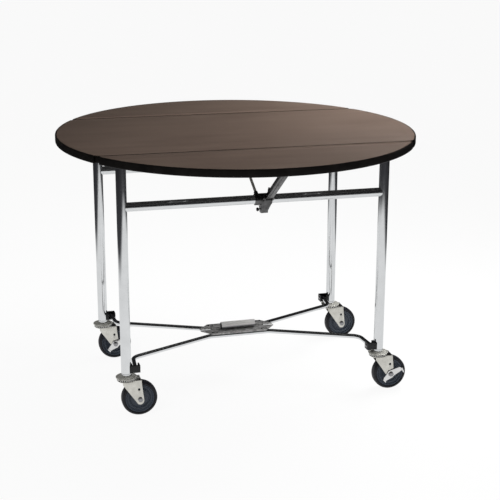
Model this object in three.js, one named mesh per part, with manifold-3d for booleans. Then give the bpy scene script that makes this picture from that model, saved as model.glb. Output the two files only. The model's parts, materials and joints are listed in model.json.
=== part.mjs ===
// Round folding service table on swivel casters.
// Millimetres, +Z up, origin on the floor under the middle of the top.
// X runs along the seams and the rails, -Y is the near side, +Y the far side.
// The far half is the near half turned half a turn about Z.

import * as THREE from 'three';
import { mergeVertices } from 'three/addons/utils/BufferGeometryUtils.js';
import Module from 'manifold-3d';

const wasm = await Module();
wasm.setup();

// ---------- driving dimensions ----------
const TABLE_H = 762;
const TOP_R = 522.5;
const BOARD_T = 19;
const EDGE_T = 4.2;
const EDGE_DROP = 2.5;
const EDGE_ROUND = 2.2;
const SEAM_Y = 267;
const SEAM_GAP = 2;
const CORNER_CUT = 8;
const ARC_STEP_DEG = 3.75;

const GAP = 0.3;
const RUN = 0.5;
const FLIP = Math.PI;

const LEG_X = 378;
const LEG_Y = 228;
const LEG_R = 14.3;
const TUBE_WALL = 1.6;
const CAP_GAP = 0.6;
const CAP_FLAT_R = 8;
const CAP_RISE = 4.4;
const CAP_SOLID = 14;
const RAIL_DROP = 153;
const RAIL_R = 12.7;

const LEAF_HINGE_X = 200;
const LEAF_HINGE_LEN = 60;
const LEAF_HINGE_ARM = 36;
const LEAF_KNUCKLE_R = 3.2;
const LEAF_PLATE_T = 2;
const LEAF_PIN_R = 1.5;

const HUB_X0 = -6;
const HUB_R = 16.5;
const HUB_DROP = 38;
const LOBE_X0 = 10;
const LOBE_X1 = 30;
const EAR_RISE = 32;
const EAR_T = 4;
const CLEVIS_T = 3;
const CLEVIS_R = 8;
const PROP_X = 28;
const PROP_DY = 24;
const PROP_RISE = 9;
const PROP_ELEVATION_DEG = 33.6;
const PROP_W = 20;
const PROP_T = 1.6;
const PROP_R = 6;
const PROP_WEB_START = 14;
const PROP_BEAD_START = 28;
const PROP_BEAD_END = 14;
const PROP_BEAD_W = 5;
const PROP_BEAD_H = 1.2;
const PROP_PIN_R = 3;
const PROP_HEAD_R = 5.5;
const PROP_HEAD_T = 2.9;
const WEAR_T = 1.5;
const WEAR_W = 24;
const WEAR_L = 44;
const TIP_GAP = 0.4;

const KNOB_R = 5.5;
const KNOB_T = 7;
const KNOB_STEM_R = 3;
const KNOB_NECK = 4.3;
const KNOB_STEM_L = 12;
const KNOB_DY = 4;
const KNOB_DZ = 28;

const STAY_R = 4;
const STAY_SOCKET_WALL = 1.6;
const STAY_SOCKET_L = 8;
const STAY_FOOT_X = -10;
const STAY_FOOT_Y = 42;
const STAY_ROOT_X = 2;
const STAY_ROOT_DY = 10;
const STAY_ROOT_DZ = 12;
const STAY_PAD_W = 16;
const STAY_PAD_L = 24;
const STAY_PAD_T = 2.5;

const ROD_RISE = 19;
const ROD_R = 6.75;
const ROD_END_X = 352.5;
const ROD_END_PAST = 6;
const ROD_ELBOW_X = 346;
const ROD_ELBOW_Y = 150;
const ROD_FLAT_X = 93;
const ROD_FLAT_Y = 34;
const PIVOT_PIN_R = 3.5;
const PIVOT_PIN_HALF = 10.3;
const ROD_ELBOW_R = 30;
const ROD_FLAT_R = 40;
const BUSH_IN = 38.5;
const BUSH_SWING_DEG = 60;
const BUSH_SWING_STEPS = 8;
const BUSH_HALF_Y = 12;
const BUSH_HALF_Z = 10.5;

const FOLD_RISE = 10;
const FOLD_HALF_X = 115;
const FOLD_SHOULDER_X = 84;
const FOLD_EDGE_Y = 43;
const FOLD_T = 3;
const FOLD_KNUCKLE_R = 5;
const FOLD_KNUCKLE_X = [-80, -40, 0, 40, 80];
const FOLD_PIN_R = 2;
const FOLD_PIN_HEAD_R = 4.5;
const FOLD_PIN_HEAD_T = 3;
const HANDLE_R = 12;
const HANDLE_Y = 13;
const HANDLE_HALF_X = 52.5;
const HANDLE_SADDLE_X = 38;
const HANDLE_SADDLE_W = 14;
const HANDLE_SADDLE_L = 12;

const WHEEL_R = 51;
const WHEEL_W = 30;
const TREAD_ROUND = 5;
const TYRE_DEPTH = 9.5;
const TYRE_PROUD = 2;
const WHEEL_BOSS_R = 12;
const TRAIL = 35;
const AXLE_R = 5;
const AXLE_HEAD_R = 8;
const AXLE_HEAD_T = 4;
const WHEEL_SIDE_GAP = 3.5;
const TREAD_GAP = 2.4;
const FORK_T = 2.5;
const FORK_TIP_R = 12;
const FORK_TIP_DROP = 16;
const SIDE_HOLE_R = 3.5;
const SIDE_HOLE_RISE = 31;
const SIDE_HOLE_BACK = 3;
const RACE_R = 30;
const RACE_TOP_T = 4;
const RACE_T = 9;
const CROWN_R = 26;
const CROWN_T = 7;
const STEM_R = 12.3;
const STEM_L = 55;
const PEDAL_T = 2.5;
const PEDAL_L = 36;
const PEDAL_TILT_DEG = 24;
const PEDAL_BOSS_R = 12.5;
const PEDAL_TREAD_W = 15;
const PEDAL_TAIL_L = 29;
const PEDAL_TAIL_DEG = -139;
const FORK_BACK = 13;
const FORK_FRONT = 5;

const ROUND = 20;
const SMALL_ROUND = 10;
const WHEEL_ROUND = 32;
const ROD_ROUND = 10;
const BEND_STEPS = 3;
const AXLE_ROUND = 8;

// ---------- values that follow from them ----------
const UNDERSIDE = TABLE_H - BOARD_T;
const BOARD_R = TOP_R - EDGE_T - GAP;
const SEAM_EDGE = SEAM_Y - SEAM_GAP / 2;
const LEAF_EDGE = SEAM_Y + SEAM_GAP / 2;
const LEAF_AXIS_Z = UNDERSIDE - LEAF_KNUCKLE_R - GAP;
const LEG_TOP = UNDERSIDE - CAP_GAP;
const RAIL_Z = TABLE_H - RAIL_DROP;
const PROP_X0 = PROP_X - PROP_W / 2;
const PROP_X1 = PROP_X + PROP_W / 2;
const CLEVIS_X0 = PROP_X0 - RUN - CLEVIS_T;
const CLEVIS_X1 = PROP_X1 + RUN + CLEVIS_T;
const PROP_ELEVATION = THREE.MathUtils.degToRad(PROP_ELEVATION_DEG);
const PROP_Y = -(LEG_Y + PROP_DY);
const PROP_Z = RAIL_Z + PROP_RISE;
const WEAR_LOW = UNDERSIDE - GAP - WEAR_T;
const PROP_TIP_Z = WEAR_LOW - TIP_GAP - PROP_R;
const PROP_L = (PROP_TIP_Z - PROP_Z) / Math.sin(PROP_ELEVATION);
const PROP_TIP_Y = PROP_Y - PROP_L * Math.cos(PROP_ELEVATION);
const CROWN_LOW = 2 * WHEEL_R + TREAD_GAP;
const CROWN_TOP = CROWN_LOW + CROWN_T;
const RACE_LOW = CROWN_TOP + GAP;
const RACE_TOP = RACE_LOW + RACE_T;
const LEG_BOTTOM = RACE_TOP + GAP;
const ROD_Z = LEG_BOTTOM + ROD_RISE;
const FOLD_Z = ROD_Z + FOLD_RISE;
const FOLD_TOP = ROD_Z + ROD_R + GAP + FOLD_T;
const HANDLE_Z = FOLD_TOP + GAP + HANDLE_R;
const HUB_DISC_R = WHEEL_R - TYRE_DEPTH;
const HUB_DISC_W = WHEEL_W - 2 * TYRE_PROUD;
const FORK_HALF_GAP = WHEEL_W / 2 + WHEEL_SIDE_GAP;

// ---------- solids ----------
function signedVolume(geometry) {
  const p = geometry.attributes.position;
  const index = geometry.index;
  const a = new THREE.Vector3();
  const b = new THREE.Vector3();
  const c = new THREE.Vector3();
  let sum = 0;
  for (let i = 0; i < index.count; i += 3) {
    a.fromBufferAttribute(p, index.getX(i));
    b.fromBufferAttribute(p, index.getX(i + 1));
    c.fromBufferAttribute(p, index.getX(i + 2));
    sum += a.dot(b.cross(c)) / 6;
  }
  return sum;
}

function solid(geometry) {
  const plain = geometry.clone();
  plain.deleteAttribute('normal');
  plain.deleteAttribute('uv');
  const merged = mergeVertices(plain, 1e-4);
  const tris = Uint32Array.from(merged.index.array);
  if (signedVolume(merged) < 0) {
    for (let i = 0; i < tris.length; i += 3) {
      const keep = tris[i];
      tris[i] = tris[i + 1];
      tris[i + 1] = keep;
    }
  }
  const mesh = new wasm.Mesh({
    numProp: 3,
    vertProperties: Float32Array.from(merged.attributes.position.array),
    triVerts: tris,
  });
  return new wasm.Manifold(mesh);
}

function join(...parts) {
  return parts.reduce((all, next) => all.add(next));
}

function cut(body, ...tools) {
  return tools.reduce((rest, tool) => rest.subtract(tool), body);
}

function meet(a, b) {
  return a.intersect(b);
}

function slab(x, y, z) {
  const g = new THREE.BoxGeometry(x[1] - x[0], y[1] - y[0], z[1] - z[0]);
  g.translate((x[0] + x[1]) / 2, (y[0] + y[1]) / 2, (z[0] + z[1]) / 2);
  return solid(g);
}

function prismAlong(points, low, high, basis) {
  const shape = new THREE.Shape(points.map(([u, v]) => new THREE.Vector2(u, v)));
  const g = new THREE.ExtrudeGeometry(shape, { depth: high - low, bevelEnabled: false });
  g.translate(0, 0, low);
  g.applyMatrix4(basis);
  return solid(g);
}

const AXIS_X = new THREE.Vector3(1, 0, 0);
const AXIS_Y = new THREE.Vector3(0, 1, 0);
const AXIS_Z = new THREE.Vector3(0, 0, 1);
const BASIS_YZ = new THREE.Matrix4().makeBasis(AXIS_Y, AXIS_Z, AXIS_X);
const BASIS_XY = new THREE.Matrix4();
const BASIS_XZ = new THREE.Matrix4().makeBasis(AXIS_X, AXIS_Z, AXIS_Y);

// a flat outline in the Y-Z plane carried along X
function prismX(points, x) {
  return prismAlong(points, x[0], x[1], BASIS_YZ);
}

// a flat outline in the X-Y plane carried along Z
function prismZ(points, z) {
  return prismAlong(points, z[0], z[1], BASIS_XY);
}

// a flat outline in the X-Z plane carried along Y
function prismY(points, y) {
  return prismAlong(points, y[0], y[1], BASIS_XZ);
}

// a turned solid about the Z axis; the profile is radius, height pairs
function turned(profile, segments, place) {
  const points = profile.map(([r, z]) => new THREE.Vector2(r, z));
  const g = new THREE.LatheGeometry(points, segments);
  g.rotateX(Math.PI / 2);
  g.rotateZ(Math.PI / segments);
  if (place) g.applyMatrix4(place);
  return solid(g);
}

// a round bar from one point to another
function bar(from, to, radius, segments) {
  const a = new THREE.Vector3(...from);
  const b = new THREE.Vector3(...to);
  const length = a.distanceTo(b);
  const turn = new THREE.Quaternion().setFromUnitVectors(AXIS_Z, b.clone().sub(a).normalize());
  const place = new THREE.Matrix4().compose(a, turn, new THREE.Vector3(1, 1, 1));
  return turned([[0, 0], [radius, 0], [radius, length], [0, length]], segments, place);
}

// rings of equal point count joined into one closed skin
function loft(rings) {
  const n = rings[0].length;
  const positions = rings.flat(2);
  const index = [];
  for (let j = 0; j + 1 < rings.length; j += 1) {
    for (let i = 0; i < n; i += 1) {
      const k = (i + 1) % n;
      const a = j * n + i;
      const b = j * n + k;
      index.push(a, b, b + n, a, b + n, a + n);
    }
  }
  const last = (rings.length - 1) * n;
  for (let i = 1; i + 1 < n; i += 1) {
    index.push(0, i + 1, i, last, last + i, last + i + 1);
  }
  const g = new THREE.BufferGeometry();
  g.setAttribute('position', new THREE.Float32BufferAttribute(positions, 3));
  g.setIndex(index);
  return solid(g);
}

// a level path of straight runs with rounded corners; corners are x, y, radius
function roundedPath(corners, steps) {
  const path = [];
  corners.forEach(([x, y, radius], i) => {
    if (!radius) {
      path.push([x, y]);
      return;
    }
    const p = new THREE.Vector2(x, y);
    const before = new THREE.Vector2(corners[i - 1][0], corners[i - 1][1]).sub(p).normalize();
    const after = new THREE.Vector2(corners[i + 1][0], corners[i + 1][1]).sub(p).normalize();
    const half = Math.acos(before.dot(after)) / 2;
    const middle = before.clone().add(after).normalize().multiplyScalar(radius / Math.sin(half));
    const centre = p.clone().add(middle);
    const start = p.clone().add(before.clone().multiplyScalar(radius / Math.tan(half))).sub(centre);
    const end = p.clone().add(after.clone().multiplyScalar(radius / Math.tan(half))).sub(centre);
    const a0 = Math.atan2(start.y, start.x);
    let sweep = Math.atan2(end.y, end.x) - a0;
    if (sweep > Math.PI) sweep -= 2 * Math.PI;
    if (sweep < -Math.PI) sweep += 2 * Math.PI;
    for (let k = 0; k <= steps; k += 1) {
      const a = a0 + sweep * k / steps;
      path.push([centre.x + radius * Math.cos(a), centre.y + radius * Math.sin(a)]);
    }
  });
  return path;
}

// a round rod that follows a level path
function levelRod(path, z, radius, segments) {
  const rings = path.map(([x, y], i) => {
    const here = new THREE.Vector2(x, y);
    const prev = i ? here.clone().sub(new THREE.Vector2(...path[i - 1])).normalize() : null;
    const more = i + 1 < path.length;
    const next = more ? new THREE.Vector2(...path[i + 1]).sub(here).normalize() : null;
    const along = new THREE.Vector2();
    if (prev) along.add(prev);
    if (next) along.add(next);
    along.normalize();
    const mitre = 1 / along.dot(next ?? prev);
    const ring = [];
    for (let k = 0; k < segments; k += 1) {
      const a = 2 * Math.PI * (k + 0.5) / segments;
      const side = radius * Math.cos(a) * mitre;
      ring.push([x - along.y * side, y + along.x * side, z + radius * Math.sin(a)]);
    }
    return ring;
  });
  return loft(rings);
}

// ---------- top ----------
function arcAngles(start, end) {
  const steps = 2 * Math.round(THREE.MathUtils.radToDeg(end - start) / ARC_STEP_DEG / 2);
  return Array.from({ length: steps + 1 }, (_, i) => start + (end - start) * i / steps);
}

const CENTRE_ARC = Math.asin((SEAM_EDGE - CORNER_CUT) / BOARD_R);
const LEAF_ARC = Math.asin((LEAF_EDGE + CORNER_CUT) / BOARD_R);
const RIGHT_ANGLES = arcAngles(-CENTRE_ARC, CENTRE_ARC);
const NEAR_ANGLES = arcAngles(Math.PI + LEAF_ARC, 2 * Math.PI - LEAF_ARC);

function onArc(angles, radius) {
  return angles.map((a) => [radius * Math.cos(a), radius * Math.sin(a)]);
}

function seamCornerX(y) {
  return Math.sqrt(BOARD_R * BOARD_R - y * y) - CORNER_CUT;
}

function centreLeaf() {
  const right = onArc(RIGHT_ANGLES, BOARD_R);
  const left = right.map(([x, y]) => [-x, -y]);
  const x = seamCornerX(SEAM_EDGE);
  const outline = [[x, -SEAM_EDGE], ...right, [x, SEAM_EDGE], [-x, SEAM_EDGE], ...left, [-x, -SEAM_EDGE]];
  return prismZ(outline, [UNDERSIDE, TABLE_H]);
}

function nearLeaf() {
  const x = seamCornerX(LEAF_EDGE);
  const outline = [[x, -LEAF_EDGE], [-x, -LEAF_EDGE], ...onArc(NEAR_ANGLES, BOARD_R)];
  return prismZ(outline, [UNDERSIDE, TABLE_H]);
}

// the moulding's section: flat against the board, rounded on the outside
function edgeMoulding(angles) {
  const inner = BOARD_R + GAP;
  const low = UNDERSIDE - EDGE_DROP;
  const section = [
    [inner, low],
    [TOP_R - EDGE_ROUND, low],
    [TOP_R, low + 2 * EDGE_ROUND],
    [TOP_R, TABLE_H - 2 * EDGE_ROUND],
    [TOP_R - EDGE_ROUND, TABLE_H],
    [inner, TABLE_H],
  ];
  return loft(angles.map((a) => section.map(([r, z]) => [r * Math.cos(a), r * Math.sin(a), z])));
}

// ---------- drop-leaf hinges, drawn for the near seam ----------
function leafHingeRun(x, from, to) {
  return [x + from * LEAF_HINGE_LEN, x + to * LEAF_HINGE_LEN];
}

function leafHingePlate(x, side) {
  const top = UNDERSIDE - GAP;
  const reach = [LEAF_KNUCKLE_R + RUN, LEAF_HINGE_ARM].map((d) => -SEAM_Y + side * d);
  return slab(leafHingeRun(x, -0.5, 0.5), reach.sort((a, b) => a - b), [top - LEAF_PLATE_T, top]);
}

function leafKnuckle(x, from, to, side) {
  const run = leafHingeRun(x, from, to);
  const top = UNDERSIDE - GAP;
  const round = bar([run[0], -SEAM_Y, LEAF_AXIS_Z], [run[1], -SEAM_Y, LEAF_AXIS_Z], LEAF_KNUCKLE_R, SMALL_ROUND);
  const reach = [0, 2 * LEAF_KNUCKLE_R].map((d) => -SEAM_Y + side * d).sort((a, b) => a - b);
  return join(round, slab(run, reach, [top - LEAF_PLATE_T, top]));
}

function leafPin(x, radius, extra) {
  const half = LEAF_HINGE_LEN / 2 + extra;
  return bar([x - half, -SEAM_Y, LEAF_AXIS_Z], [x + half, -SEAM_Y, LEAF_AXIS_Z], radius, SMALL_ROUND);
}

const KNUCKLE_SPLIT = 0.18;

function fixedHingeLeaf(x) {
  const gap = GAP / LEAF_HINGE_LEN;
  const outer = leafKnuckle(x, -0.5, -KNUCKLE_SPLIT - gap, 1);
  const inner = leafKnuckle(x, KNUCKLE_SPLIT + gap, 0.5, 1);
  return cut(join(leafHingePlate(x, 1), outer, inner), leafPin(x, LEAF_PIN_R + GAP, 1));
}

function movingHingeLeaf(x) {
  const middle = leafKnuckle(x, -KNUCKLE_SPLIT, KNUCKLE_SPLIT, -1);
  return join(leafHingePlate(x, -1), middle, leafPin(x, LEAF_PIN_R, 0));
}

// ---------- frames, drawn for the near side ----------
function leg(sign) {
  const shoulder = LEG_TOP - CAP_RISE;
  const profile = [
    [0, LEG_TOP - CAP_SOLID],
    [LEG_R - TUBE_WALL, LEG_TOP - CAP_SOLID],
    [LEG_R - TUBE_WALL, LEG_BOTTOM],
    [LEG_R, LEG_BOTTOM],
    [LEG_R, shoulder],
    [LEG_R - 2, LEG_TOP - CAP_RISE / 4],
    [CAP_FLAT_R, LEG_TOP],
    [0, LEG_TOP],
  ];
  const place = new THREE.Matrix4().makeTranslation(sign * LEG_X, -LEG_Y, 0);
  return turned(profile, ROUND, place);
}

function rail() {
  const at = (x) => [x, -LEG_Y, RAIL_Z];
  const outer = bar(at(-LEG_X), at(LEG_X), RAIL_R, ROUND);
  const inner = bar(at(-LEG_X - 1), at(LEG_X + 1), RAIL_R - TUBE_WALL, ROUND);
  const z = [RAIL_Z - LEG_R * 2, RAIL_Z + LEG_R * 2];
  const cope = [-1, 1].map((s) => bar([s * LEG_X, -LEG_Y, z[0]], [s * LEG_X, -LEG_Y, z[1]], LEG_R + GAP, ROUND));
  return cut(outer, inner, ...cope, ...endTrim());
}

function endTrim() {
  const far = LEG_X + 2 * LEG_R;
  const z = [RAIL_Z - 2 * RAIL_R, RAIL_Z + 2 * RAIL_R];
  const y = [-LEG_Y - 2 * RAIL_R, -LEG_Y + 2 * RAIL_R];
  const near = LEG_X - LEG_R / 4;
  return [slab([near, far], y, z), slab([-far, -near], y, z)];
}

function legBush(sign) {
  const x = [sign * (LEG_X - LEG_R + 6), sign * (LEG_X - BUSH_IN)].sort((a, b) => a - b);
  const y = [-LEG_Y - BUSH_HALF_Y, -LEG_Y + BUSH_HALF_Y];
  const block = slab(x, y, [ROD_Z - BUSH_HALF_Z, ROD_Z + BUSH_HALF_Z]);
  const legHole = bar([sign * LEG_X, -LEG_Y, 0], [sign * LEG_X, -LEG_Y, TABLE_H], LEG_R + GAP, ROUND);
  const pinHole = pivotPin(sign, PIVOT_PIN_R + GAP, PIVOT_PIN_HALF + GAP);
  return cut(block, legHole, pinHole, swingSlot(sign));
}

function pivotPin(sign, radius, half) {
  const at = (dx) => [sign * (ROD_END_X + dx), -LEG_Y, ROD_Z];
  return bar(at(-half), at(half), radius, SMALL_ROUND);
}

// the slot that a stretcher's end turns up in, about the pivot
function swingSlot(sign) {
  const lean = (ROD_END_X - ROD_ELBOW_X) / (LEG_Y + ROD_END_PAST - ROD_ELBOW_Y);
  const drift = lean * (BUSH_HALF_Y + ROD_END_PAST);
  const side = ROD_R + RUN;
  const end = ROD_END_PAST + RUN;
  const start = Math.PI + Math.atan2(side, end);
  const swing = THREE.MathUtils.degToRad(BUSH_SWING_DEG);
  const first = start + swing;
  const last = Math.PI - Math.atan2(side, end);
  const step = (first - last) / BUSH_SWING_STEPS;
  const reach = Math.hypot(side, end) / Math.cos(step / 2);
  const outline = [[4 * BUSH_HALF_Y, -side], [reach, -side]];
  for (let i = 0; i <= BUSH_SWING_STEPS; i += 1) {
    const a = first - step * i;
    outline.push([reach * Math.cos(a), reach * Math.sin(a)]);
  }
  const rise = 4 * BUSH_HALF_Y;
  outline.push([-end + rise * Math.cos(swing), side + rise * Math.sin(swing)]);
  outline.push([4 * BUSH_HALF_Y, side + rise * Math.sin(swing)]);
  const x = [sign * (ROD_END_X - side - drift - GAP), sign * (ROD_END_X + side + GAP)];
  const placed = outline.map(([dy, dz]) => [-LEG_Y + dy, ROD_Z + dz]);
  return prismX(placed, x.sort((p, q) => p - q));
}

// ---------- stretchers, drawn for the near side ----------
function stretcherRod() {
  const half = [
    [ROD_END_X, -LEG_Y - ROD_END_PAST, 0],
    [ROD_ELBOW_X, -ROD_ELBOW_Y, ROD_ELBOW_R],
    [ROD_FLAT_X, -ROD_FLAT_Y, ROD_FLAT_R],
  ];
  const mirror = half.slice().reverse().map(([x, y, r]) => [-x, y, r]);
  const rod = levelRod(roundedPath([...half, ...mirror], BEND_STEPS), ROD_Z, ROD_R, ROD_ROUND);
  return join(rod, pivotPin(-1, PIVOT_PIN_R, PIVOT_PIN_HALF), pivotPin(1, PIVOT_PIN_R, PIVOT_PIN_HALF));
}

function foldPlate() {
  const low = ROD_Z + ROD_R + GAP;
  const z = [low, low + FOLD_T];
  const inner = FOLD_KNUCKLE_R + RUN;
  const outline = [
    [-FOLD_HALF_X, -inner],
    [-FOLD_HALF_X + 2, -inner - 5],
    [-FOLD_SHOULDER_X, -FOLD_EDGE_Y],
    [FOLD_SHOULDER_X, -FOLD_EDGE_Y],
    [FOLD_HALF_X - 2, -inner - 5],
    [FOLD_HALF_X, -inner],
  ];
  const parts = [prismZ(outline, z)];
  for (let i = 0; i < 2; i += 1) {
    const run = [FOLD_KNUCKLE_X[2 * i] + GAP, FOLD_KNUCKLE_X[2 * i + 1] - GAP];
    parts.push(bar([run[0], 0, FOLD_Z], [run[1], 0, FOLD_Z], FOLD_KNUCKLE_R, SMALL_ROUND));
    parts.push(slab(run, [-2 * FOLD_KNUCKLE_R, 0], z));
  }
  const bore = bar([-FOLD_HALF_X, 0, FOLD_Z], [FOLD_HALF_X, 0, FOLD_Z], FOLD_PIN_R + GAP, SMALL_ROUND);
  return cut(join(...parts), bore);
}

function foldPin() {
  const end = FOLD_KNUCKLE_X[4] + GAP;
  const tip = end + FOLD_PIN_HEAD_T;
  return join(
    bar([-end - 1, 0, FOLD_Z], [end + 1, 0, FOLD_Z], FOLD_PIN_R, SMALL_ROUND),
    bar([-tip, 0, FOLD_Z], [-end, 0, FOLD_Z], FOLD_PIN_HEAD_R, SMALL_ROUND),
    bar([end, 0, FOLD_Z], [tip, 0, FOLD_Z], FOLD_PIN_HEAD_R, SMALL_ROUND),
  );
}

function liftHandle() {
  const at = (x) => [x, -HANDLE_Y, HANDLE_Z];
  const grip = bar(at(-HANDLE_HALF_X), at(HANDLE_HALF_X), HANDLE_R, ROUND);
  const bore = bar(at(-HANDLE_HALF_X - 1), at(HANDLE_HALF_X + 1), HANDLE_R - TUBE_WALL, ROUND);
  const saddles = [-1, 1].map((s) => slab(
    [s * HANDLE_SADDLE_X - HANDLE_SADDLE_W / 2, s * HANDLE_SADDLE_X + HANDLE_SADDLE_W / 2],
    [-HANDLE_Y - HANDLE_SADDLE_L / 2, -HANDLE_Y + HANDLE_SADDLE_L / 2],
    [FOLD_TOP + GAP, HANDLE_Z - HANDLE_R / 2],
  ));
  return cut(join(grip, ...saddles), bore);
}

// ---------- leaf support, drawn for the near side ----------
function aroundRail(points) {
  return points.map(([dy, dz]) => [-LEG_Y + dy, RAIL_Z + dz]);
}

const STAY_ROOT = [STAY_ROOT_X, -LEG_Y + STAY_ROOT_DY, RAIL_Z + STAY_ROOT_DZ];
const STAY_FOOT = [STAY_FOOT_X, -STAY_FOOT_Y, UNDERSIDE - STAY_PAD_T];

function alongStay(distance) {
  const a = new THREE.Vector3(...STAY_ROOT);
  const b = new THREE.Vector3(...STAY_FOOT);
  return a.add(b.sub(a.clone()).normalize().multiplyScalar(distance)).toArray();
}

function supportHub() {
  const collar = bar([HUB_X0, -LEG_Y, RAIL_Z], [CLEVIS_X1, -LEG_Y, RAIL_Z], HUB_R, ROUND);
  const profile = prismX(aroundRail([
    [-HUB_R + 1.5, 0],
    [-HUB_R + 1.5, -HUB_DROP * 0.7],
    [-HUB_R + 6.5, -HUB_DROP],
    [5, -HUB_DROP],
    [11, -HUB_DROP * 0.7],
    [HUB_R - 2.5, 0],
  ]), [LOBE_X0, CLEVIS_X1]);
  const front = prismY([
    [LOBE_X0, RAIL_Z],
    [LOBE_X0, RAIL_Z - HUB_DROP],
    [LOBE_X1, RAIL_Z - HUB_DROP],
    [LOBE_X1, RAIL_Z - HUB_DROP * 0.76],
    [CLEVIS_X1, RAIL_Z - HUB_R * 0.4],
    [CLEVIS_X1, RAIL_Z],
  ], [-LEG_Y - 2 * HUB_R, -LEG_Y + 2 * HUB_R]);
  const ear = prismX(aroundRail([
    [-12, 6], [12, 6], [7, EAR_RISE * 0.75], [1.5, EAR_RISE], [-1.5, EAR_RISE], [-7, EAR_RISE * 0.75],
  ]), [PROP_X1 - EAR_T, PROP_X1]);
  const pinAt = (x) => [x, PROP_Y, PROP_Z];
  const pin = bar(pinAt(CLEVIS_X0 + 1), pinAt(CLEVIS_X1 - 1), PROP_PIN_R, SMALL_ROUND);
  const head0 = bar(pinAt(CLEVIS_X0 - PROP_HEAD_T), pinAt(CLEVIS_X0 + 1), PROP_HEAD_R, SMALL_ROUND);
  const head1 = bar(pinAt(CLEVIS_X1 - 1), pinAt(CLEVIS_X1 + PROP_HEAD_T), PROP_HEAD_R, SMALL_ROUND);
  const socket = bar(STAY_ROOT, alongStay(STAY_SOCKET_L), STAY_R + GAP + STAY_SOCKET_WALL, SMALL_ROUND);
  const railHole = bar([HUB_X0 - 1, -LEG_Y, RAIL_Z], [CLEVIS_X1 + 1, -LEG_Y, RAIL_Z], RAIL_R + RUN, ROUND);
  const stayHole = bar(alongStay(2 - GAP), alongStay(STAY_SOCKET_L * 2), STAY_R + GAP, SMALL_ROUND);
  const knobHole = bar(knobAt(LOBE_X0 - 1), knobAt(LOBE_X0 + KNOB_STEM_L), KNOB_STEM_R + GAP, SMALL_ROUND);
  const body = join(
    collar,
    meet(profile, front),
    clevisPlate(CLEVIS_X0),
    clevisPlate(CLEVIS_X1 - CLEVIS_T),
    ear,
    pin,
    head0,
    head1,
    socket,
  );
  return cut(body, railHole, stayHole, knobHole);
}

// one of the two plates that hold the prop's pin
function clevisPlate(x) {
  const outline = [[-HUB_R / 3, -CLEVIS_R], [-HUB_R / 3, PROP_RISE + CLEVIS_R / 2]];
  for (let i = 0; i <= 6; i += 1) {
    const a = THREE.MathUtils.degToRad(80 + 180 * i / 6);
    outline.push([-PROP_DY + CLEVIS_R * Math.cos(a), PROP_RISE + CLEVIS_R * Math.sin(a)]);
  }
  return prismX(aroundRail(outline), [x, x + CLEVIS_T]);
}

function knobAt(x) {
  return [x, -LEG_Y - KNOB_DY, RAIL_Z - KNOB_DZ];
}

function releaseKnob() {
  const face = LOBE_X0 - RUN - KNOB_NECK;
  return join(
    bar(knobAt(face - KNOB_T), knobAt(face), KNOB_R, SMALL_ROUND),
    bar(knobAt(face - 1), knobAt(LOBE_X0 + KNOB_STEM_L - RUN), KNOB_STEM_R, SMALL_ROUND),
  );
}

// a point of the prop: distance out from its pivot, and distance towards its web
function onProp(out, web) {
  const c = Math.cos(PROP_ELEVATION);
  const s = Math.sin(PROP_ELEVATION);
  return [PROP_Y - out * c - web * s, PROP_Z + out * s - web * c];
}

function leafProp() {
  const flank = [];
  for (let i = 0; i <= 8; i += 1) {
    const a = Math.PI / 2 + Math.PI * i / 8;
    flank.push(onProp(PROP_R * Math.cos(a), PROP_R * Math.sin(a)));
  }
  flank.push(onProp(PROP_L, -PROP_R), onProp(PROP_L, PROP_R));
  const web = [
    onProp(PROP_WEB_START, PROP_R - PROP_T),
    onProp(PROP_L, PROP_R - PROP_T),
    onProp(PROP_L, PROP_R),
    onProp(PROP_WEB_START, PROP_R),
  ];
  const bead = [
    onProp(PROP_BEAD_START, PROP_R - PROP_T),
    onProp(PROP_L - PROP_BEAD_END, PROP_R - PROP_T),
    onProp(PROP_L - PROP_BEAD_END - PROP_BEAD_H, PROP_R + PROP_BEAD_H),
    onProp(PROP_BEAD_START + PROP_BEAD_H, PROP_R + PROP_BEAD_H),
  ];
  const tip = onProp(PROP_L, 0);
  const body = join(
    prismX(flank, [PROP_X0, PROP_X0 + PROP_T]),
    prismX(flank, [PROP_X1 - PROP_T, PROP_X1]),
    prismX(web, [PROP_X0, PROP_X1]),
    prismX(bead, [PROP_X - PROP_BEAD_W / 2, PROP_X + PROP_BEAD_W / 2]),
    bar([PROP_X0, ...tip], [PROP_X1, ...tip], PROP_R, ROUND),
  );
  const hole = bar([PROP_X0 - 1, PROP_Y, PROP_Z], [PROP_X1 + 1, PROP_Y, PROP_Z], PROP_PIN_R + GAP, SMALL_ROUND);
  return cut(body, hole);
}

function wearPlate() {
  return slab(
    [PROP_X - WEAR_W / 2, PROP_X + WEAR_W / 2],
    [PROP_TIP_Y - WEAR_L / 2, PROP_TIP_Y + WEAR_L / 2],
    [WEAR_LOW, UNDERSIDE - GAP],
  );
}

function stayRod() {
  const top = UNDERSIDE - GAP;
  const rod = bar(alongStay(2), STAY_FOOT, STAY_R, SMALL_ROUND);
  const edge = STAY_FOOT_X + STAY_R;
  const pad = slab(
    [edge - STAY_PAD_W, edge],
    [-STAY_FOOT_Y - STAY_PAD_L / 2, -STAY_FOOT_Y + STAY_PAD_L / 2],
    [top - STAY_PAD_T, top],
  );
  const above = slab([-STAY_PAD_W * 3, STAY_PAD_W * 2], [-STAY_FOOT_Y * 2, 0], [top, top + STAY_PAD_W]);
  return cut(join(rod, pad), above);
}

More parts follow.
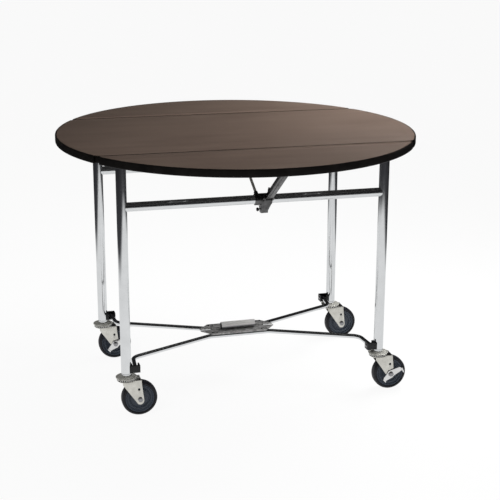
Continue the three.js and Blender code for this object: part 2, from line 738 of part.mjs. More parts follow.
// ---------- casters ----------
function casterRace(x, y) {
  const profile = [
    [0, RACE_LOW],
    [RACE_R - 3, RACE_LOW],
    [RACE_R, RACE_LOW + 2],
    [RACE_R, RACE_TOP - RACE_TOP_T],
    [RACE_R - 10, RACE_TOP],
    [STEM_R, RACE_TOP],
    [STEM_R, RACE_TOP + STEM_L],
    [0, RACE_TOP + STEM_L],
  ];
  return turned(profile, ROUND, new THREE.Matrix4().makeTranslation(x, y, 0));
}

function casterFork(x, y) {
  const crown = turned(
    [[0, CROWN_LOW], [CROWN_R - 4, CROWN_LOW], [CROWN_R, CROWN_LOW + 3], [CROWN_R, CROWN_TOP], [0, CROWN_TOP]],
    ROUND,
    new THREE.Matrix4().makeTranslation(x, y, 0),
  );
  const outer = FORK_HALF_GAP + FORK_T;
  const hub = x + TRAIL;
  const back = x - FORK_BACK;
  const front = hub + FORK_FRONT;
  const shoulder = CROWN_LOW - FORK_TIP_R / 2;
  const flank = [
    [back, CROWN_TOP - 1],
    [back, shoulder],
    [hub - FORK_TIP_R, WHEEL_R - FORK_TIP_DROP * 0.3],
    [hub - FORK_TIP_R * 0.6, WHEEL_R - FORK_TIP_DROP * 0.87],
    [hub, WHEEL_R - FORK_TIP_DROP],
    [hub + FORK_TIP_R * 0.65, WHEEL_R - FORK_TIP_DROP * 0.82],
    [hub + FORK_TIP_R - 1, WHEEL_R - FORK_TIP_DROP * 0.3],
    [hub + FORK_TIP_R - 1, WHEEL_R + FORK_TIP_R / 2],
    [front, shoulder],
    [front, CROWN_TOP - 1],
  ];
  const bridge = slab([back, front], [y - outer, y + outer], [CROWN_TOP - 1 - FORK_T, CROWN_TOP - 1]);
  const axleAt = (dy) => [hub, y + dy, WHEEL_R];
  const tip = outer + AXLE_HEAD_T;
  const sideHole = [-1, 1].map((s) => bar(
    [hub - SIDE_HOLE_BACK, y + s * (outer + 1), WHEEL_R + SIDE_HOLE_RISE],
    [hub - SIDE_HOLE_BACK, y + s * (FORK_HALF_GAP - 1), WHEEL_R + SIDE_HOLE_RISE],
    SIDE_HOLE_R,
    AXLE_ROUND,
  ));
  const body = join(
    crown,
    bridge,
    prismY(flank, [y - outer, y - FORK_HALF_GAP]),
    prismY(flank, [y + FORK_HALF_GAP, y + outer]),
    bar(axleAt(-outer), axleAt(outer), AXLE_R, AXLE_ROUND),
    bar(axleAt(outer - 1), axleAt(tip), AXLE_HEAD_R, 6),
  );
  return cut(body, ...sideHole);
}

// the braked casters carry the pedal on a longer near end of the axle
function axleNearEnd(x, y, braked) {
  const outer = FORK_HALF_GAP + FORK_T;
  const reach = braked ? outer + PEDAL_T + 2 * RUN : outer - 1;
  const hub = x + TRAIL;
  return join(
    bar([hub, y - reach, WHEEL_R], [hub, y - outer + 1, WHEEL_R], AXLE_R, AXLE_ROUND),
    bar([hub, y - reach - AXLE_HEAD_T, WHEEL_R], [hub, y - reach, WHEEL_R], AXLE_HEAD_R, 6),
  );
}

const WHEEL_TURN = new THREE.Matrix4().makeRotationX(Math.PI / 2);

function wheelPlace(x, y) {
  const move = new THREE.Matrix4().makeTranslation(x + TRAIL, y, WHEEL_R);
  return move.multiply(WHEEL_TURN);
}

// the wheel facets are turned so that one lies flat on the floor
function wheelRound(profile, x, y) {
  const flat = 1 / Math.cos(Math.PI / WHEEL_ROUND);
  const points = profile.map(([r, z]) => new THREE.Vector2(r * flat, z));
  const g = new THREE.LatheGeometry(points, WHEEL_ROUND);
  g.rotateY(Math.PI / WHEEL_ROUND);
  g.rotateX(Math.PI / 2);
  g.applyMatrix4(wheelPlace(x, y));
  return solid(g);
}

function tyre(x, y) {
  const inner = HUB_DISC_R + GAP;
  const half = WHEEL_W / 2;
  return wheelRound([
    [inner, -half],
    [WHEEL_R - TREAD_ROUND, -half],
    [WHEEL_R - TREAD_ROUND * 0.3, -half + TREAD_ROUND * 0.7],
    [WHEEL_R, -half + 2 * TREAD_ROUND],
    [WHEEL_R, half - 2 * TREAD_ROUND],
    [WHEEL_R - TREAD_ROUND * 0.3, half - TREAD_ROUND * 0.7],
    [WHEEL_R - TREAD_ROUND, half],
    [inner, half],
    [inner, -half],
  ], x, y);
}

function wheelHub(x, y) {
  const half = HUB_DISC_W / 2;
  const dish = half - 5;
  const boss = FORK_HALF_GAP - 2;
  const bore = AXLE_R + RUN;
  return wheelRound([
    [bore, -boss],
    [WHEEL_BOSS_R, -boss],
    [WHEEL_BOSS_R, -dish],
    [HUB_DISC_R - 7, -dish],
    [HUB_DISC_R, -half],
    [HUB_DISC_R, half],
    [HUB_DISC_R - 7, dish],
    [WHEEL_BOSS_R, dish],
    [WHEEL_BOSS_R, boss],
    [bore, boss],
    [bore, -boss],
  ], x, y);
}

function brakePedal(x, y) {
  const hub = x + TRAIL;
  const near = y - FORK_HALF_GAP - FORK_T - RUN;
  const along = (degrees) => (out, across) => {
    const a = THREE.MathUtils.degToRad(degrees);
    return [
      hub + out * Math.cos(a) - across * Math.sin(a),
      WHEEL_R + out * Math.sin(a) + across * Math.cos(a),
    ];
  };
  const arm = along(PEDAL_TILT_DEG);
  const tail = along(PEDAL_TAIL_DEG);
  const boss = (degrees) => along(degrees)(PEDAL_BOSS_R, 0);
  const plate = prismY([
    arm(PEDAL_L, -6), arm(PEDAL_L, 6), boss(85), boss(130), boss(175),
    tail(PEDAL_TAIL_L, -5), tail(PEDAL_TAIL_L, 5), boss(-70), boss(-25),
  ], [near - PEDAL_T, near]);
  const tread = prismY([
    arm(PEDAL_L - PEDAL_T, -8), arm(PEDAL_L + 1, -8), arm(PEDAL_L + 1, 8), arm(PEDAL_L - PEDAL_T, 8),
  ], [near - PEDAL_TREAD_W, near]);
  const toe = prismY([
    tail(PEDAL_TAIL_L - PEDAL_T, -6), tail(PEDAL_TAIL_L + 1, -6),
    tail(PEDAL_TAIL_L + 1, 6), tail(PEDAL_TAIL_L - PEDAL_T, 6),
  ], [near - PEDAL_TREAD_W / 2, near]);
  const hole = bar([hub, near - 2 * PEDAL_T, WHEEL_R], [hub, near + 1, WHEEL_R], AXLE_R + RUN, SMALL_ROUND);
  return cut(join(plate, tread, toe), hole);
}

// ---------- assembly ----------
const COLOURS = {
  laminate: 0x4a332a,
  edging: 0x151515,
  chrome: 0xc9ccd0,
  steel: 0xa9a79f,
  black_plastic: 0x1b1b1d,
  handle: 0xd8d6cf,
  wheel_disc: 0x8a93a0,
  tread: 0x23252b,
};

const table = new THREE.Group();
table.name = 'service_table';

function place(name, body, colour, turned180) {
  const mesh = body.getMesh();
  const g = new THREE.BufferGeometry();
  g.setAttribute('position', new THREE.BufferAttribute(Float32Array.from(mesh.vertProperties), 3));
  g.setIndex(new THREE.BufferAttribute(Uint32Array.from(mesh.triVerts), 1));
  if (turned180) g.rotateZ(FLIP);
  const flat = g.toNonIndexed();
  flat.computeVertexNormals();
  const material = new THREE.MeshStandardMaterial({ color: COLOURS[colour], roughness: 0.4 });
  const node = new THREE.Mesh(flat, material);
  node.name = name;
  table.add(node);
}

place('centre_leaf', centreLeaf(), 'laminate');
place('near_leaf', nearLeaf(), 'laminate');
place('far_leaf', nearLeaf(), 'laminate', true);
place('edging_right', edgeMoulding(RIGHT_ANGLES), 'edging');
place('edging_left', edgeMoulding(RIGHT_ANGLES), 'edging', true);
place('edging_near', edgeMoulding(NEAR_ANGLES), 'edging');
place('edging_far', edgeMoulding(NEAR_ANGLES), 'edging', true);

const HINGE_ENDS = [['left', -LEAF_HINGE_X], ['right', LEAF_HINGE_X]];
HINGE_ENDS.forEach(([end, x]) => {
  place(`near_hinge_fixed_${end}`, fixedHingeLeaf(x), 'steel');
  place(`near_hinge_moving_${end}`, movingHingeLeaf(x), 'steel');
  place(`far_hinge_fixed_${end}`, fixedHingeLeaf(-x), 'steel', true);
  place(`far_hinge_moving_${end}`, movingHingeLeaf(-x), 'steel', true);
});

[['near', false], ['far', true]].forEach(([side, flip]) => {
  const turnedSign = flip ? -1 : 1;
  place(`${side}_leg_left`, leg(-turnedSign), 'chrome', flip);
  place(`${side}_leg_right`, leg(turnedSign), 'chrome', flip);
  place(`${side}_rail`, rail(), 'chrome', flip);
  place(`${side}_bush_left`, legBush(-turnedSign), 'black_plastic', flip);
  place(`${side}_bush_right`, legBush(turnedSign), 'black_plastic', flip);
  place(`${side}_support_hub`, supportHub(), 'chrome', flip);
  place(`${side}_prop`, leafProp(), 'steel', flip);
  place(`${side}_release_knob`, releaseKnob(), 'black_plastic', flip);
  place(`${side}_stay_rod`, stayRod(), 'chrome', flip);
  place(`${side}_wear_plate`, wearPlate(), 'steel', flip);
  place(`${side}_stretcher`, stretcherRod(), 'chrome', flip);
  place(`${side}_fold_plate`, foldPlate(), 'steel', flip);
});
place('fold_pin', foldPin(), 'steel');
place('lift_handle', liftHandle(), 'handle');

const CASTERS = [
  ['near_left', -LEG_X, -LEG_Y, false],
  ['near_right', LEG_X, -LEG_Y, true],
  ['far_left', -LEG_X, LEG_Y, true],
  ['far_right', LEG_X, LEG_Y, false],
];
CASTERS.forEach(([corner, x, y, braked]) => {
  place(`${corner}_race`, casterRace(x, y), 'steel');
  place(`${corner}_fork`, join(casterFork(x, y), axleNearEnd(x, y, braked)), 'steel');
  place(`${corner}_wheel`, wheelHub(x, y), 'wheel_disc');
  place(`${corner}_tyre`, tyre(x, y), 'tread');
  if (braked) place(`${corner}_brake`, brakePedal(x, y), 'steel');
});

export default table;
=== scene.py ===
"""Looks of a round drop-leaf serving table on a folding tubular frame with swivel casters.

Lengths are in millimetres and angles in radians, unless a name or comment says otherwise. Meshes, node
inputs and everything in Studio are in metres.
"""

import json
import logging
import math
from dataclasses import dataclass, field
from enum import Enum
from typing import Any, Iterable, Optional, Sequence

import bmesh
import bpy
from mathutils import Matrix, Vector


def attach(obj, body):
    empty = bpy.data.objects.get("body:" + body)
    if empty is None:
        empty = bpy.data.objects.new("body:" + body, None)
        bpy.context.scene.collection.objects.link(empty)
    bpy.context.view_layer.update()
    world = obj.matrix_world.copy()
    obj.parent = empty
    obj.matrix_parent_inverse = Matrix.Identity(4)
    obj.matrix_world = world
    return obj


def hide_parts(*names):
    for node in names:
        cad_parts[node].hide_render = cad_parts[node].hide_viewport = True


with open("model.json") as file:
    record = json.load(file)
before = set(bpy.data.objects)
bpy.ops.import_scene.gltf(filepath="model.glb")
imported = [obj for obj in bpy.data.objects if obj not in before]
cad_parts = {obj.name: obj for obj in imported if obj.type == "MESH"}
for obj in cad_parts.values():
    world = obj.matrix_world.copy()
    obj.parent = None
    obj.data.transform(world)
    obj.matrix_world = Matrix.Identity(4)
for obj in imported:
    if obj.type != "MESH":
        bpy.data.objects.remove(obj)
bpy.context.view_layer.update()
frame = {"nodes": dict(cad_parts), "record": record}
LOG = logging.getLogger("service_table")
MM = 0.001
Point = tuple[float, float, float]
Spot = tuple[float, float]
Outline = list[Spot]
Profile = tuple[Spot, ...]
Stops = Sequence[tuple[float, Sequence[float]]]

TABLE_H = 762.0
UNDERSIDE = 743.0
TOP_R = 522.5
BOARD_R = 518.0
SEAM_EDGE = 266.0
LEAF_EDGE = 268.0
CORNER_CUT = 8.0
LEG_X = 378.0
LEG_Y = 228.0
LEG_BOTTOM = 121.0
RAIL_Z = 609.0
ROD_Z = 140.0
TRAIL = 35.0
WHEEL_R = 51.0


class Side(Enum):
    """The two halves of the table; the far one is the near one turned half a turn."""

    NEAR = "near"
    FAR = "far"

    @property
    def turn(self) -> Matrix:
        """The rotation that carries a near piece to this side."""
        return Matrix.Rotation(0.0 if self is Side.NEAR else math.pi, 4, "Z")


class Axis(Enum):
    """The direction in which a flat outline is carried."""

    X = Matrix(((0, 0, 1, 0), (1, 0, 0, 0), (0, 1, 0, 0), (0, 0, 0, 1)))
    Y = Matrix(((1, 0, 0, 0), (0, 0, 1, 0), (0, 1, 0, 0), (0, 0, 0, 1)))
    Z = Matrix.Identity(4)


# ---------------------------------------------------------------- shader maths
class Value:
    """One socket of a node tree, used in Python expressions."""

    def __init__(self, tree: "NodeTree", socket: bpy.types.NodeSocket) -> None:
        """Keeps the tree and the socket.

        Args:
            tree: the tree that owns the socket.
            socket: the socket that carries the value.
        """
        self.tree = tree
        self.socket = socket

    def _math(self, operation: str, first: Any, second: Any) -> "Value":
        """One Math node on two values."""
        return self.tree.add("ShaderNodeMath", {"operation": operation}, {0: first, 1: second})

    def __add__(self, other: Any) -> "Value":
        """self + other"""
        return self._math("ADD", self, other)

    def __radd__(self, other: Any) -> "Value":
        """other + self"""
        return self._math("ADD", other, self)

    def __mul__(self, other: Any) -> "Value":
        """self * other"""
        return self._math("MULTIPLY", self, other)

    def __rmul__(self, other: Any) -> "Value":
        """other * self"""
        return self._math("MULTIPLY", other, self)


class NodeTree:
    """A shader or geometry tree that is filled by one method."""

    def __init__(self, nodes: bpy.types.NodeTree) -> None:
        """Empties the tree.

        Args:
            nodes: the Blender node tree to fill.
        """
        self.data = nodes
        self.data.nodes.clear()

    def add(self, kind: str, settings: Optional[dict[str, Any]] = None,
            inputs: Optional[dict[Any, Any]] = None, output: Any = 0) -> Value:
        """Adds a node, sets it and links it.

        Args:
            kind: the node's type.
            settings: attributes, and a ramp's stops, that are set before the inputs.
            inputs: values, or sockets to link, by input name or number.
            output: the name or number of the output to return.

        Returns:
            The chosen output, or the first input of a node that ends a tree.
        """
        node = self.data.nodes.new(kind)
        for key, value in (settings or {}).items():
            if key == "stops":
                self._stops(node, value)
            else:
                setattr(node, key, value)
        for key, value in (inputs or {}).items():
            if isinstance(value, Value):
                self.data.links.new(value.socket, node.inputs[key])
            else:
                node.inputs[key].default_value = value
        return Value(self, node.outputs[output] if len(node.outputs) else node.inputs[0])

    @staticmethod
    def _stops(node: bpy.types.Node, stops: Stops) -> None:
        """Fills a colour ramp.

        Args:
            node: the ramp.
            stops: the place and colour of each stop.
        """
        ramp = node.color_ramp
        while len(ramp.elements) < len(stops):
            ramp.elements.new(0.5)
        for element, (place, colour) in zip(ramp.elements, stops):
            element.position = place
            element.color = rgba(colour)


def rgba(colour: Sequence[float]) -> tuple[float, ...]:
    """A colour with full alpha."""
    return (colour[0], colour[1], colour[2], 1.0)


@dataclass(frozen=True)
class Grain:
    """A noise pattern on Object coordinates, finer along an axis that is stretched by more than 1."""

    scale: float
    detail: float = 3.0
    rough: float = 0.55
    stretch: Point = (1.0, 1.0, 1.0)


class Paint(NodeTree):
    """The node tree of one material."""

    def __init__(self, name: str) -> None:
        """Makes the material.

        Args:
            name: the material's name.
        """
        self.material = bpy.data.materials.new(name)
        self.material.use_nodes = True
        super().__init__(self.material.node_tree)

    def place(self, scale: Point = (1.0, 1.0, 1.0)) -> Value:
        """Object coordinates, stretched by a scale."""
        coords = self.add("ShaderNodeTexCoord", output="Object")
        return self.add("ShaderNodeMapping", None, {"Vector": coords, "Scale": scale})

    def noise(self, grain: Grain) -> Value:
        """Noise between 0 and 1."""
        return self.add("ShaderNodeTexNoise", {"noise_dimensions": "3D"}, {
            "Vector": self.place(grain.stretch), "Scale": grain.scale, "Detail": grain.detail,
            "Roughness": grain.rough}, "Fac")

    def ramp(self, factor: Value, stops: Stops) -> Value:
        """A colour ramp."""
        return self.add("ShaderNodeValToRGB", {"stops": stops}, {0: factor}, "Color")

    def spread(self, factor: Value, low: float, high: float, source: Spot = (0.3, 0.7)) -> Value:
        """Maps a factor's source range onto low to high and clamps it."""
        return self.add("ShaderNodeMapRange", {"clamp": True}, {
            "Value": factor, "From Min": source[0], "From Max": source[1], "To Min": low, "To Max": high},
            "Result")

    def mix(self, factor: Value, first: Any, second: Any) -> Value:
        """Mixes two colours."""
        return self.add("ShaderNodeMix", {"data_type": "RGBA"}, {0: factor, 6: first, 7: second}, 2)

    def bump(self, height: Value, strength: float, distance: float) -> Value:
        """A bumped normal."""
        return self.add("ShaderNodeBump", None,
                        {"Strength": strength, "Distance": distance, "Height": height}, "Normal")

    def principled(self, **inputs: Any) -> Value:
        """A Principled shader; its inputs are given by name, with _ for a space."""
        named = {key.replace("_", " "): value for key, value in inputs.items()}
        return self.add("ShaderNodeBsdfPrincipled", None, named)

    def close(self, surface: Value) -> bpy.types.Material:
        """Ends the tree with a shader and returns the material."""
        self.add("ShaderNodeOutputMaterial", None, {"Surface": surface})
        return self.material

    def finish(self, **inputs: Any) -> bpy.types.Material:
        """Ends the tree with one Principled shader and returns the material."""
        return self.close(self.principled(**inputs))


# ---------------------------------------------------------------- finishes
SKIN = 0.0002  # the height of a finish's fine relief, in metres


@dataclass(frozen=True)
class WalnutLaminate:
    """Dark walnut-grained laminate with a satin face."""

    name: str = "walnut_laminate"
    slot: str = "laminate"
    dark: Point = (0.088, 0.062, 0.049)
    light: Point = (0.126, 0.092, 0.073)
    pore: Point = (0.056, 0.038, 0.029)
    figure: Grain = Grain(3.0, 4.0, 0.6, (1.2, 11.0, 1.0))
    pores: Grain = Grain(4.0, 3.0, 0.65, (6.0, 190.0, 6.0))
    cloud: Grain = Grain(2.2, 2.0)
    figure_share: float = 0.55
    pore_range: Spot = (0.56, 0.74)
    pore_depth: float = 0.55
    roughness: Spot = (0.39, 0.47)
    gloss: float = 0.42
    bump: float = 0.05
    relief: float = 2 * SKIN

    def build(self) -> bpy.types.Material:
        """Makes the material.

        Returns:
            The material.
        """
        paint = Paint(self.name)
        figure, pores, cloud = (paint.noise(grain) for grain in (self.figure, self.pores, self.cloud))
        tone = paint.spread(figure * self.figure_share + cloud * (1.0 - self.figure_share), 0.0, 1.0)
        body = paint.mix(tone, rgba(self.dark), rgba(self.light))
        marks = paint.spread(pores, 0.0, self.pore_depth, self.pore_range)
        return paint.finish(Base_Color=paint.mix(marks, body, rgba(self.pore)),
                            Roughness=paint.spread(cloud, *self.roughness), Specular_IOR_Level=self.gloss,
                            Normal=paint.bump(pores * 0.5 + figure * 0.5, self.bump, self.relief))


@dataclass(frozen=True)
class Moulded:
    """Moulded plastic or rubber with a fine skin and slight scuffing."""

    name: str
    slot: str
    colour: Point
    scuff: Point
    roughness: float = 0.45
    skin_scale: float = 900.0
    bump: float = 0.12
    gloss: float = 0.4
    cloud: Grain = Grain(26.0, 4.0, 0.6)
    scuff_range: Spot = (0.42, 0.78)
    smoother: float = 0.06
    rougher: float = 0.08

    def build(self) -> bpy.types.Material:
        """Makes the material.

        Returns:
            The material.
        """
        paint = Paint(self.name)
        cloud = paint.noise(self.cloud)
        skin = paint.noise(Grain(self.skin_scale, 2.0))
        scuffs = paint.spread(cloud, 0.0, 1.0, self.scuff_range)
        rough = paint.spread(cloud, self.roughness - self.smoother, self.roughness + self.rougher)
        return paint.finish(Base_Color=paint.mix(scuffs, rgba(self.colour), rgba(self.scuff)),
                            Roughness=rough, Specular_IOR_Level=self.gloss,
                            Normal=paint.bump(skin, self.bump, SKIN))


@dataclass(frozen=True)
class PlatedMetal:
    """Plated, polished or worn metal with faint wiping marks and clouding."""

    name: str
    slot: str
    bright: Point
    dull: Point
    roughness: float
    spread: float
    scale: float = 30.0
    bump: float = 0.02
    metallic: float = 1.0
    fineness: float = 12.0
    cloud_share: float = 0.6

    def build(self) -> bpy.types.Material:
        """Makes the material.

        Returns:
            The material.
        """
        paint = Paint(self.name)
        cloud = paint.noise(Grain(self.scale, 4.0, 0.6))
        fine = paint.noise(Grain(self.scale * self.fineness, 2.0, 0.5))
        colour = paint.mix(paint.spread(cloud, 0.0, 1.0), rgba(self.bright), rgba(self.dull))
        rough = paint.spread(cloud * self.cloud_share + fine * (1.0 - self.cloud_share),
                             self.roughness - self.spread, self.roughness + self.spread)
        return paint.finish(Base_Color=colour, Metallic=self.metallic, Roughness=rough,
                            Normal=paint.bump(fine, self.bump, SKIN))


class Finish(Enum):
    """Every finish of the table."""

    LAMINATE = WalnutLaminate()
    BACKING = Moulded("board_backing", "laminate", (0.012, 0.011, 0.011), (0.022, 0.020, 0.020), 0.5)
    EDGING = Moulded("edge_moulding", "edging", (0.0045, 0.0038, 0.0034), (0.010, 0.0085, 0.0075), 0.42,
                     gloss=0.12)
    CHROME = PlatedMetal("bright_chrome", "chrome", (0.80, 0.815, 0.82), (0.74, 0.755, 0.76), 0.075, 0.03)
    STEEL = PlatedMetal("support_steel", "chrome", (0.17, 0.17, 0.172), (0.075, 0.074, 0.073), 0.34, 0.08,
                        70.0, bump=0.08)
    # a darker copy of the bright chrome: painted shade on the pin heads, grip tube and axle bolts
    DARK_CHROME = PlatedMetal("shaded_chrome", "chrome", (0.38, 0.38, 0.385), (0.29, 0.29, 0.30), 0.20, 0.05)
    WORN = PlatedMetal("worn_plate", "chrome", (0.62, 0.61, 0.60), (0.15, 0.148, 0.146), 0.34, 0.10, 130.0,
                       bump=0.08, metallic=0.3)
    DISH = PlatedMetal("dished_plate", "chrome", (0.78, 0.77, 0.71), (0.38, 0.375, 0.34), 0.32, 0.08, 110.0,
                       bump=0.06, metallic=0.4)
    ZINC = PlatedMetal("zinc_plate", "zinc", (0.76, 0.75, 0.69), (0.62, 0.61, 0.56), 0.30, 0.07, 60.0,
                       bump=0.06)
    POLISHED = PlatedMetal("polished_steel", "zinc", (0.86, 0.86, 0.85), (0.72, 0.72, 0.71), 0.16, 0.05)
    NYLON = Moulded("black_nylon", "bush", (0.008, 0.008, 0.009), (0.018, 0.018, 0.019), 0.42)
    GRIP = Moulded("grip_tube", "handle", (0.66, 0.65, 0.635), (0.56, 0.55, 0.53), 0.32, gloss=0.55)
    DISC = Moulded("wheel_centre", "wheel_disc", (0.042, 0.053, 0.072), (0.066, 0.080, 0.102), 0.42, 500.0)
    TREAD = Moulded("rubber_tread", "tread", (0.0085, 0.0088, 0.0125), (0.020, 0.021, 0.027), 0.55, 700.0,
                    0.2)

    @property
    def material(self) -> bpy.types.Material:
        """The finish's material, made on first use."""
        return bpy.data.materials.get(self.value.name) or self.value.build()


# ---------------------------------------------------------------- shapes
@dataclass
class Shape:
    """Points and faces in millimetres."""

    points: list[Vector] = field(default_factory=list)
    faces: list[tuple[int, ...]] = field(default_factory=list)

    def join(self, other: "Shape") -> "Shape":
        """Adds another shape.

        Args:
            other: the shape to add.

        Returns:
            This shape.
        """
        start = len(self.points)
        self.points += other.points
        self.faces += [tuple(i + start for i in face) for face in other.faces]
        return self

    def moved(self, matrix: Matrix) -> "Shape":
        """A copy carried by a matrix."""
        return Shape([matrix @ p for p in self.points], list(self.faces))


def revolve(profile: Sequence[Spot], segments: int, place: Matrix, closed: bool = False) -> Shape:
    """Turns a profile of radius and height about Z.

    Args:
        profile: radius and height pairs; an open profile starts and ends on the axis.
        segments: steps round the axis.
        place: where the turned shape goes.
        closed: the profile is a closed loop.

    Returns:
        The turned shape.
    """
    shape = Shape()
    rings: list[list[int]] = []
    for radius, height in profile:
        if radius == 0.0:
            shape.points.append(Vector((0.0, 0.0, height)))
            rings.append([len(shape.points) - 1] * segments)
            continue
        start = len(shape.points)
        for k in range(segments):
            angle = 2 * math.pi * k / segments
            shape.points.append(Vector((radius * math.cos(angle), radius * math.sin(angle), height)))
        rings.append(list(range(start, start + segments)))
    pairs = list(zip(rings, rings[1:])) + ([(rings[-1], rings[0])] if closed else [])
    for low, high in pairs:
        for k in range(segments):
            n = (k + 1) % segments
            face = tuple(dict.fromkeys((low[k], low[n], high[n], high[k])))
            if len(face) > 2:
                shape.faces.append(face)
    return shape.moved(place)


def mirrored(half: Profile) -> Outline:
    """A closed profile from its upper half and the same below."""
    return [*half, *((radius, -height) for radius, height in reversed(half))]


def prism(outline: Sequence[Spot], low: float, high: float, axis: Axis) -> Shape:
    """Carries a flat outline along an axis.

    Args:
        outline: the flat outline.
        low: where it starts on the axis.
        high: where it ends.
        axis: the axis it is carried along.

    Returns:
        The closed shape.
    """
    n = len(outline)
    points = [Vector((u, v, w)) for w in (low, high) for u, v in outline]
    faces: list[tuple[int, ...]] = [tuple(range(n)), tuple(range(2 * n - 1, n - 1, -1))]
    faces += [(i, (i + 1) % n, n + (i + 1) % n, n + i) for i in range(n)]
    return Shape([axis.value @ p for p in points], faces)


def round_bar(start: Point, end: Point, radius: float, segments: int = 32, ease: float = 0.5) -> Shape:
    """A round bar with eased ends.

    Args:
        start: the middle of one end.
        end: the middle of the other.
        radius: the bar's radius.
        segments: steps round the bar.
        ease: how far its ends are eased.

    Returns:
        The closed shape.
    """
    a, b = Vector(start), Vector(end)
    length = (b - a).length
    turn = (b - a).to_track_quat("Z", "Y").to_matrix().to_4x4()
    profile = [(0.0, 0.0), (radius - ease, 0.0), (radius, ease), (radius, length - ease),
               (radius - ease, length), (0.0, length)]
    return revolve(profile, segments, Matrix.Translation(a) @ turn)


def sector_sweep(section: Sequence[Spot], angles: Sequence[float]) -> Shape:
    """Carries a section round the Z axis.

    Args:
        section: radius and height pairs.
        angles: the angles at which it stands, from one end to the other.

    Returns:
        The closed shape.
    """
    shape = Shape()
    n = len(section)
    for angle in angles:
        shape.points += [Vector((r * math.cos(angle), r * math.sin(angle), z)) for r, z in section]
    for j in range(len(angles) - 1):
        for i in range(n):
            k = (i + 1) % n
            shape.faces.append((j * n + i, j * n + k, (j + 1) * n + k, (j + 1) * n + i))
    shape.faces.append(tuple(range(n)))
    shape.faces.append(tuple((len(angles) - 1) * n + i for i in reversed(range(n))))
    return shape


def arc(start: float, end: float, steps: int) -> list[float]:
    """Evenly spaced angles, ends included."""
    return [start + (end - start) * i / steps for i in range(steps + 1)]


def ellipse(centre: Spot, radii: Spot, angles: Sequence[float]) -> Outline:
    """Points on an ellipse at the given angles."""
    return [(centre[0] + radii[0] * math.cos(a), centre[1] + radii[1] * math.sin(a)) for a in angles]


def corner_curve(start: Spot, tip: Spot, end: Spot, steps: int = 6) -> Outline:
    """A smooth corner that leans on its tip.

    Args:
        start: where the corner starts.
        tip: the point that it leans on.
        end: where it ends.
        steps: parts of the curve.

    Returns:
        The points between start and end.
    """
    curve: Outline = []
    for i in range(1, steps):
        t = i / steps
        weights = ((1 - t) ** 2, 2 * t * (1 - t), t * t)
        curve.append((sum(w * p[0] for w, p in zip(weights, (start, tip, end))),
                      sum(w * p[1] for w, p in zip(weights, (start, tip, end)))))
    return curve


# ---------------------------------------------------------------- pieces
MERGE = 2e-6  # points closer than this are one, in metres
QUAD = 4  # faces with more corners than this stay flat


def place_object(name: str, data: Optional[bpy.types.ID]) -> bpy.types.Object:
    """Puts a mesh, curve, lamp or camera into the scene.

    Args:
        name: the object's name.
        data: what it shows.

    Returns:
        The object.
    """
    obj = bpy.data.objects.new(name, data)
    bpy.context.scene.collection.objects.link(obj)
    return obj


def mesh_object(name: str, shape: Shape) -> bpy.types.Object:
    """Makes a mesh object in metres with its faces pointing out.

    Args:
        name: the object's name.
        shape: points and faces in millimetres.

    Returns:
        The object, linked into the scene.
    """
    mesh = bpy.data.meshes.new(name)
    mesh.from_pydata([p * MM for p in shape.points], [], shape.faces)
    tidy_mesh(mesh)
    return place_object(name, mesh)


def tidy_mesh(mesh: bpy.types.Mesh, dissolve: bool = False) -> None:
    """Merges doubles and turns the faces outwards.

    Args:
        mesh: the mesh.
        dissolve: joins the triangles of flat faces too.
    """
    work = bmesh.new()
    work.from_mesh(mesh)
    bmesh.ops.remove_doubles(work, verts=work.verts, dist=MERGE)
    if dissolve:
        bmesh.ops.dissolve_limit(work, angle_limit=math.radians(2.0), verts=work.verts, edges=work.edges)
    bmesh.ops.recalc_face_normals(work, faces=work.faces)
    work.to_mesh(mesh)
    work.free()


def bake(obj: bpy.types.Object) -> bpy.types.Object:
    """Turns the modifiers' result into a plain mesh.

    Args:
        obj: the object with its modifiers.

    Returns:
        The object without them.
    """
    graph = bpy.context.evaluated_depsgraph_get()
    graph.update()
    mesh = bpy.data.meshes.new_from_object(obj.evaluated_get(graph), preserve_all_data_layers=True,
                                           depsgraph=graph)
    obj.modifiers.clear()
    obj.data = mesh
    return obj


def round_edges(obj: bpy.types.Object, width: float, limit: float = 35.0,
                segments: int = 2) -> bpy.types.Object:
    """Bevels the sharp edges.

    Args:
        obj: the object.
        width: the bevel's width in millimetres.
        limit: the angle in degrees from which an edge is sharp.
        segments: steps of the bevel.

    Returns:
        The object with its plain mesh.
    """
    bevel = obj.modifiers.new("round", "BEVEL")
    bevel.width = width * MM
    bevel.segments = segments
    bevel.limit_method = "ANGLE"
    bevel.angle_limit = math.radians(limit)
    bevel.use_clamp_overlap = True
    return bake(obj)


def dress(obj: bpy.types.Object, finish: Finish, body: str, nodes: Iterable[str] = (),
          smooth: float = 38.0) -> bpy.types.Object:
    """Gives a piece its finish, shading and body.

    Args:
        obj: the piece.
        finish: its finish.
        body: the CAD body that it rides on.
        nodes: the CAD nodes that it stands for.
        smooth: the angle in degrees under which edges are smooth.

    Returns:
        The piece.
    """
    if not obj.data.materials:
        obj.data.materials.append(finish.material)
    for face in obj.data.polygons:
        face.use_smooth = face.loop_total <= QUAD
    obj.data.set_sharp_from_angle(angle=math.radians(smooth))
    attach(obj, body)
    for node in nodes:
        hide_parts(node)
    LOG.info("%s on %s, %d faces", obj.name, body, len(obj.data.polygons))
    return obj


def body_of(node: str) -> str:
    """The CAD body that holds a node."""
    bodies = frame["record"]["behaviour"]["bodies"]
    return next(body for body, names in bodies.items() if node in names)


def refine(node: str, finish: Finish, width: float = 0.5, segments: int = 2) -> bpy.types.Object:
    """Stands a rounded, smooth copy of a CAD node in its place.

    Args:
        node: the CAD node.
        finish: the finish of the copy.
        width: how far its edges are rounded, in millimetres.
        segments: steps of the rounding.

    Returns:
        The dressed copy.
    """
    obj = place_object(node + "_shape", frame["nodes"][node].data.copy())
    obj.data.materials.clear()
    tidy_mesh(obj.data, dissolve=True)
    round_edges(obj, width, 30.0, segments)
    return dress(obj, finish, body_of(node), [node], 32.0)


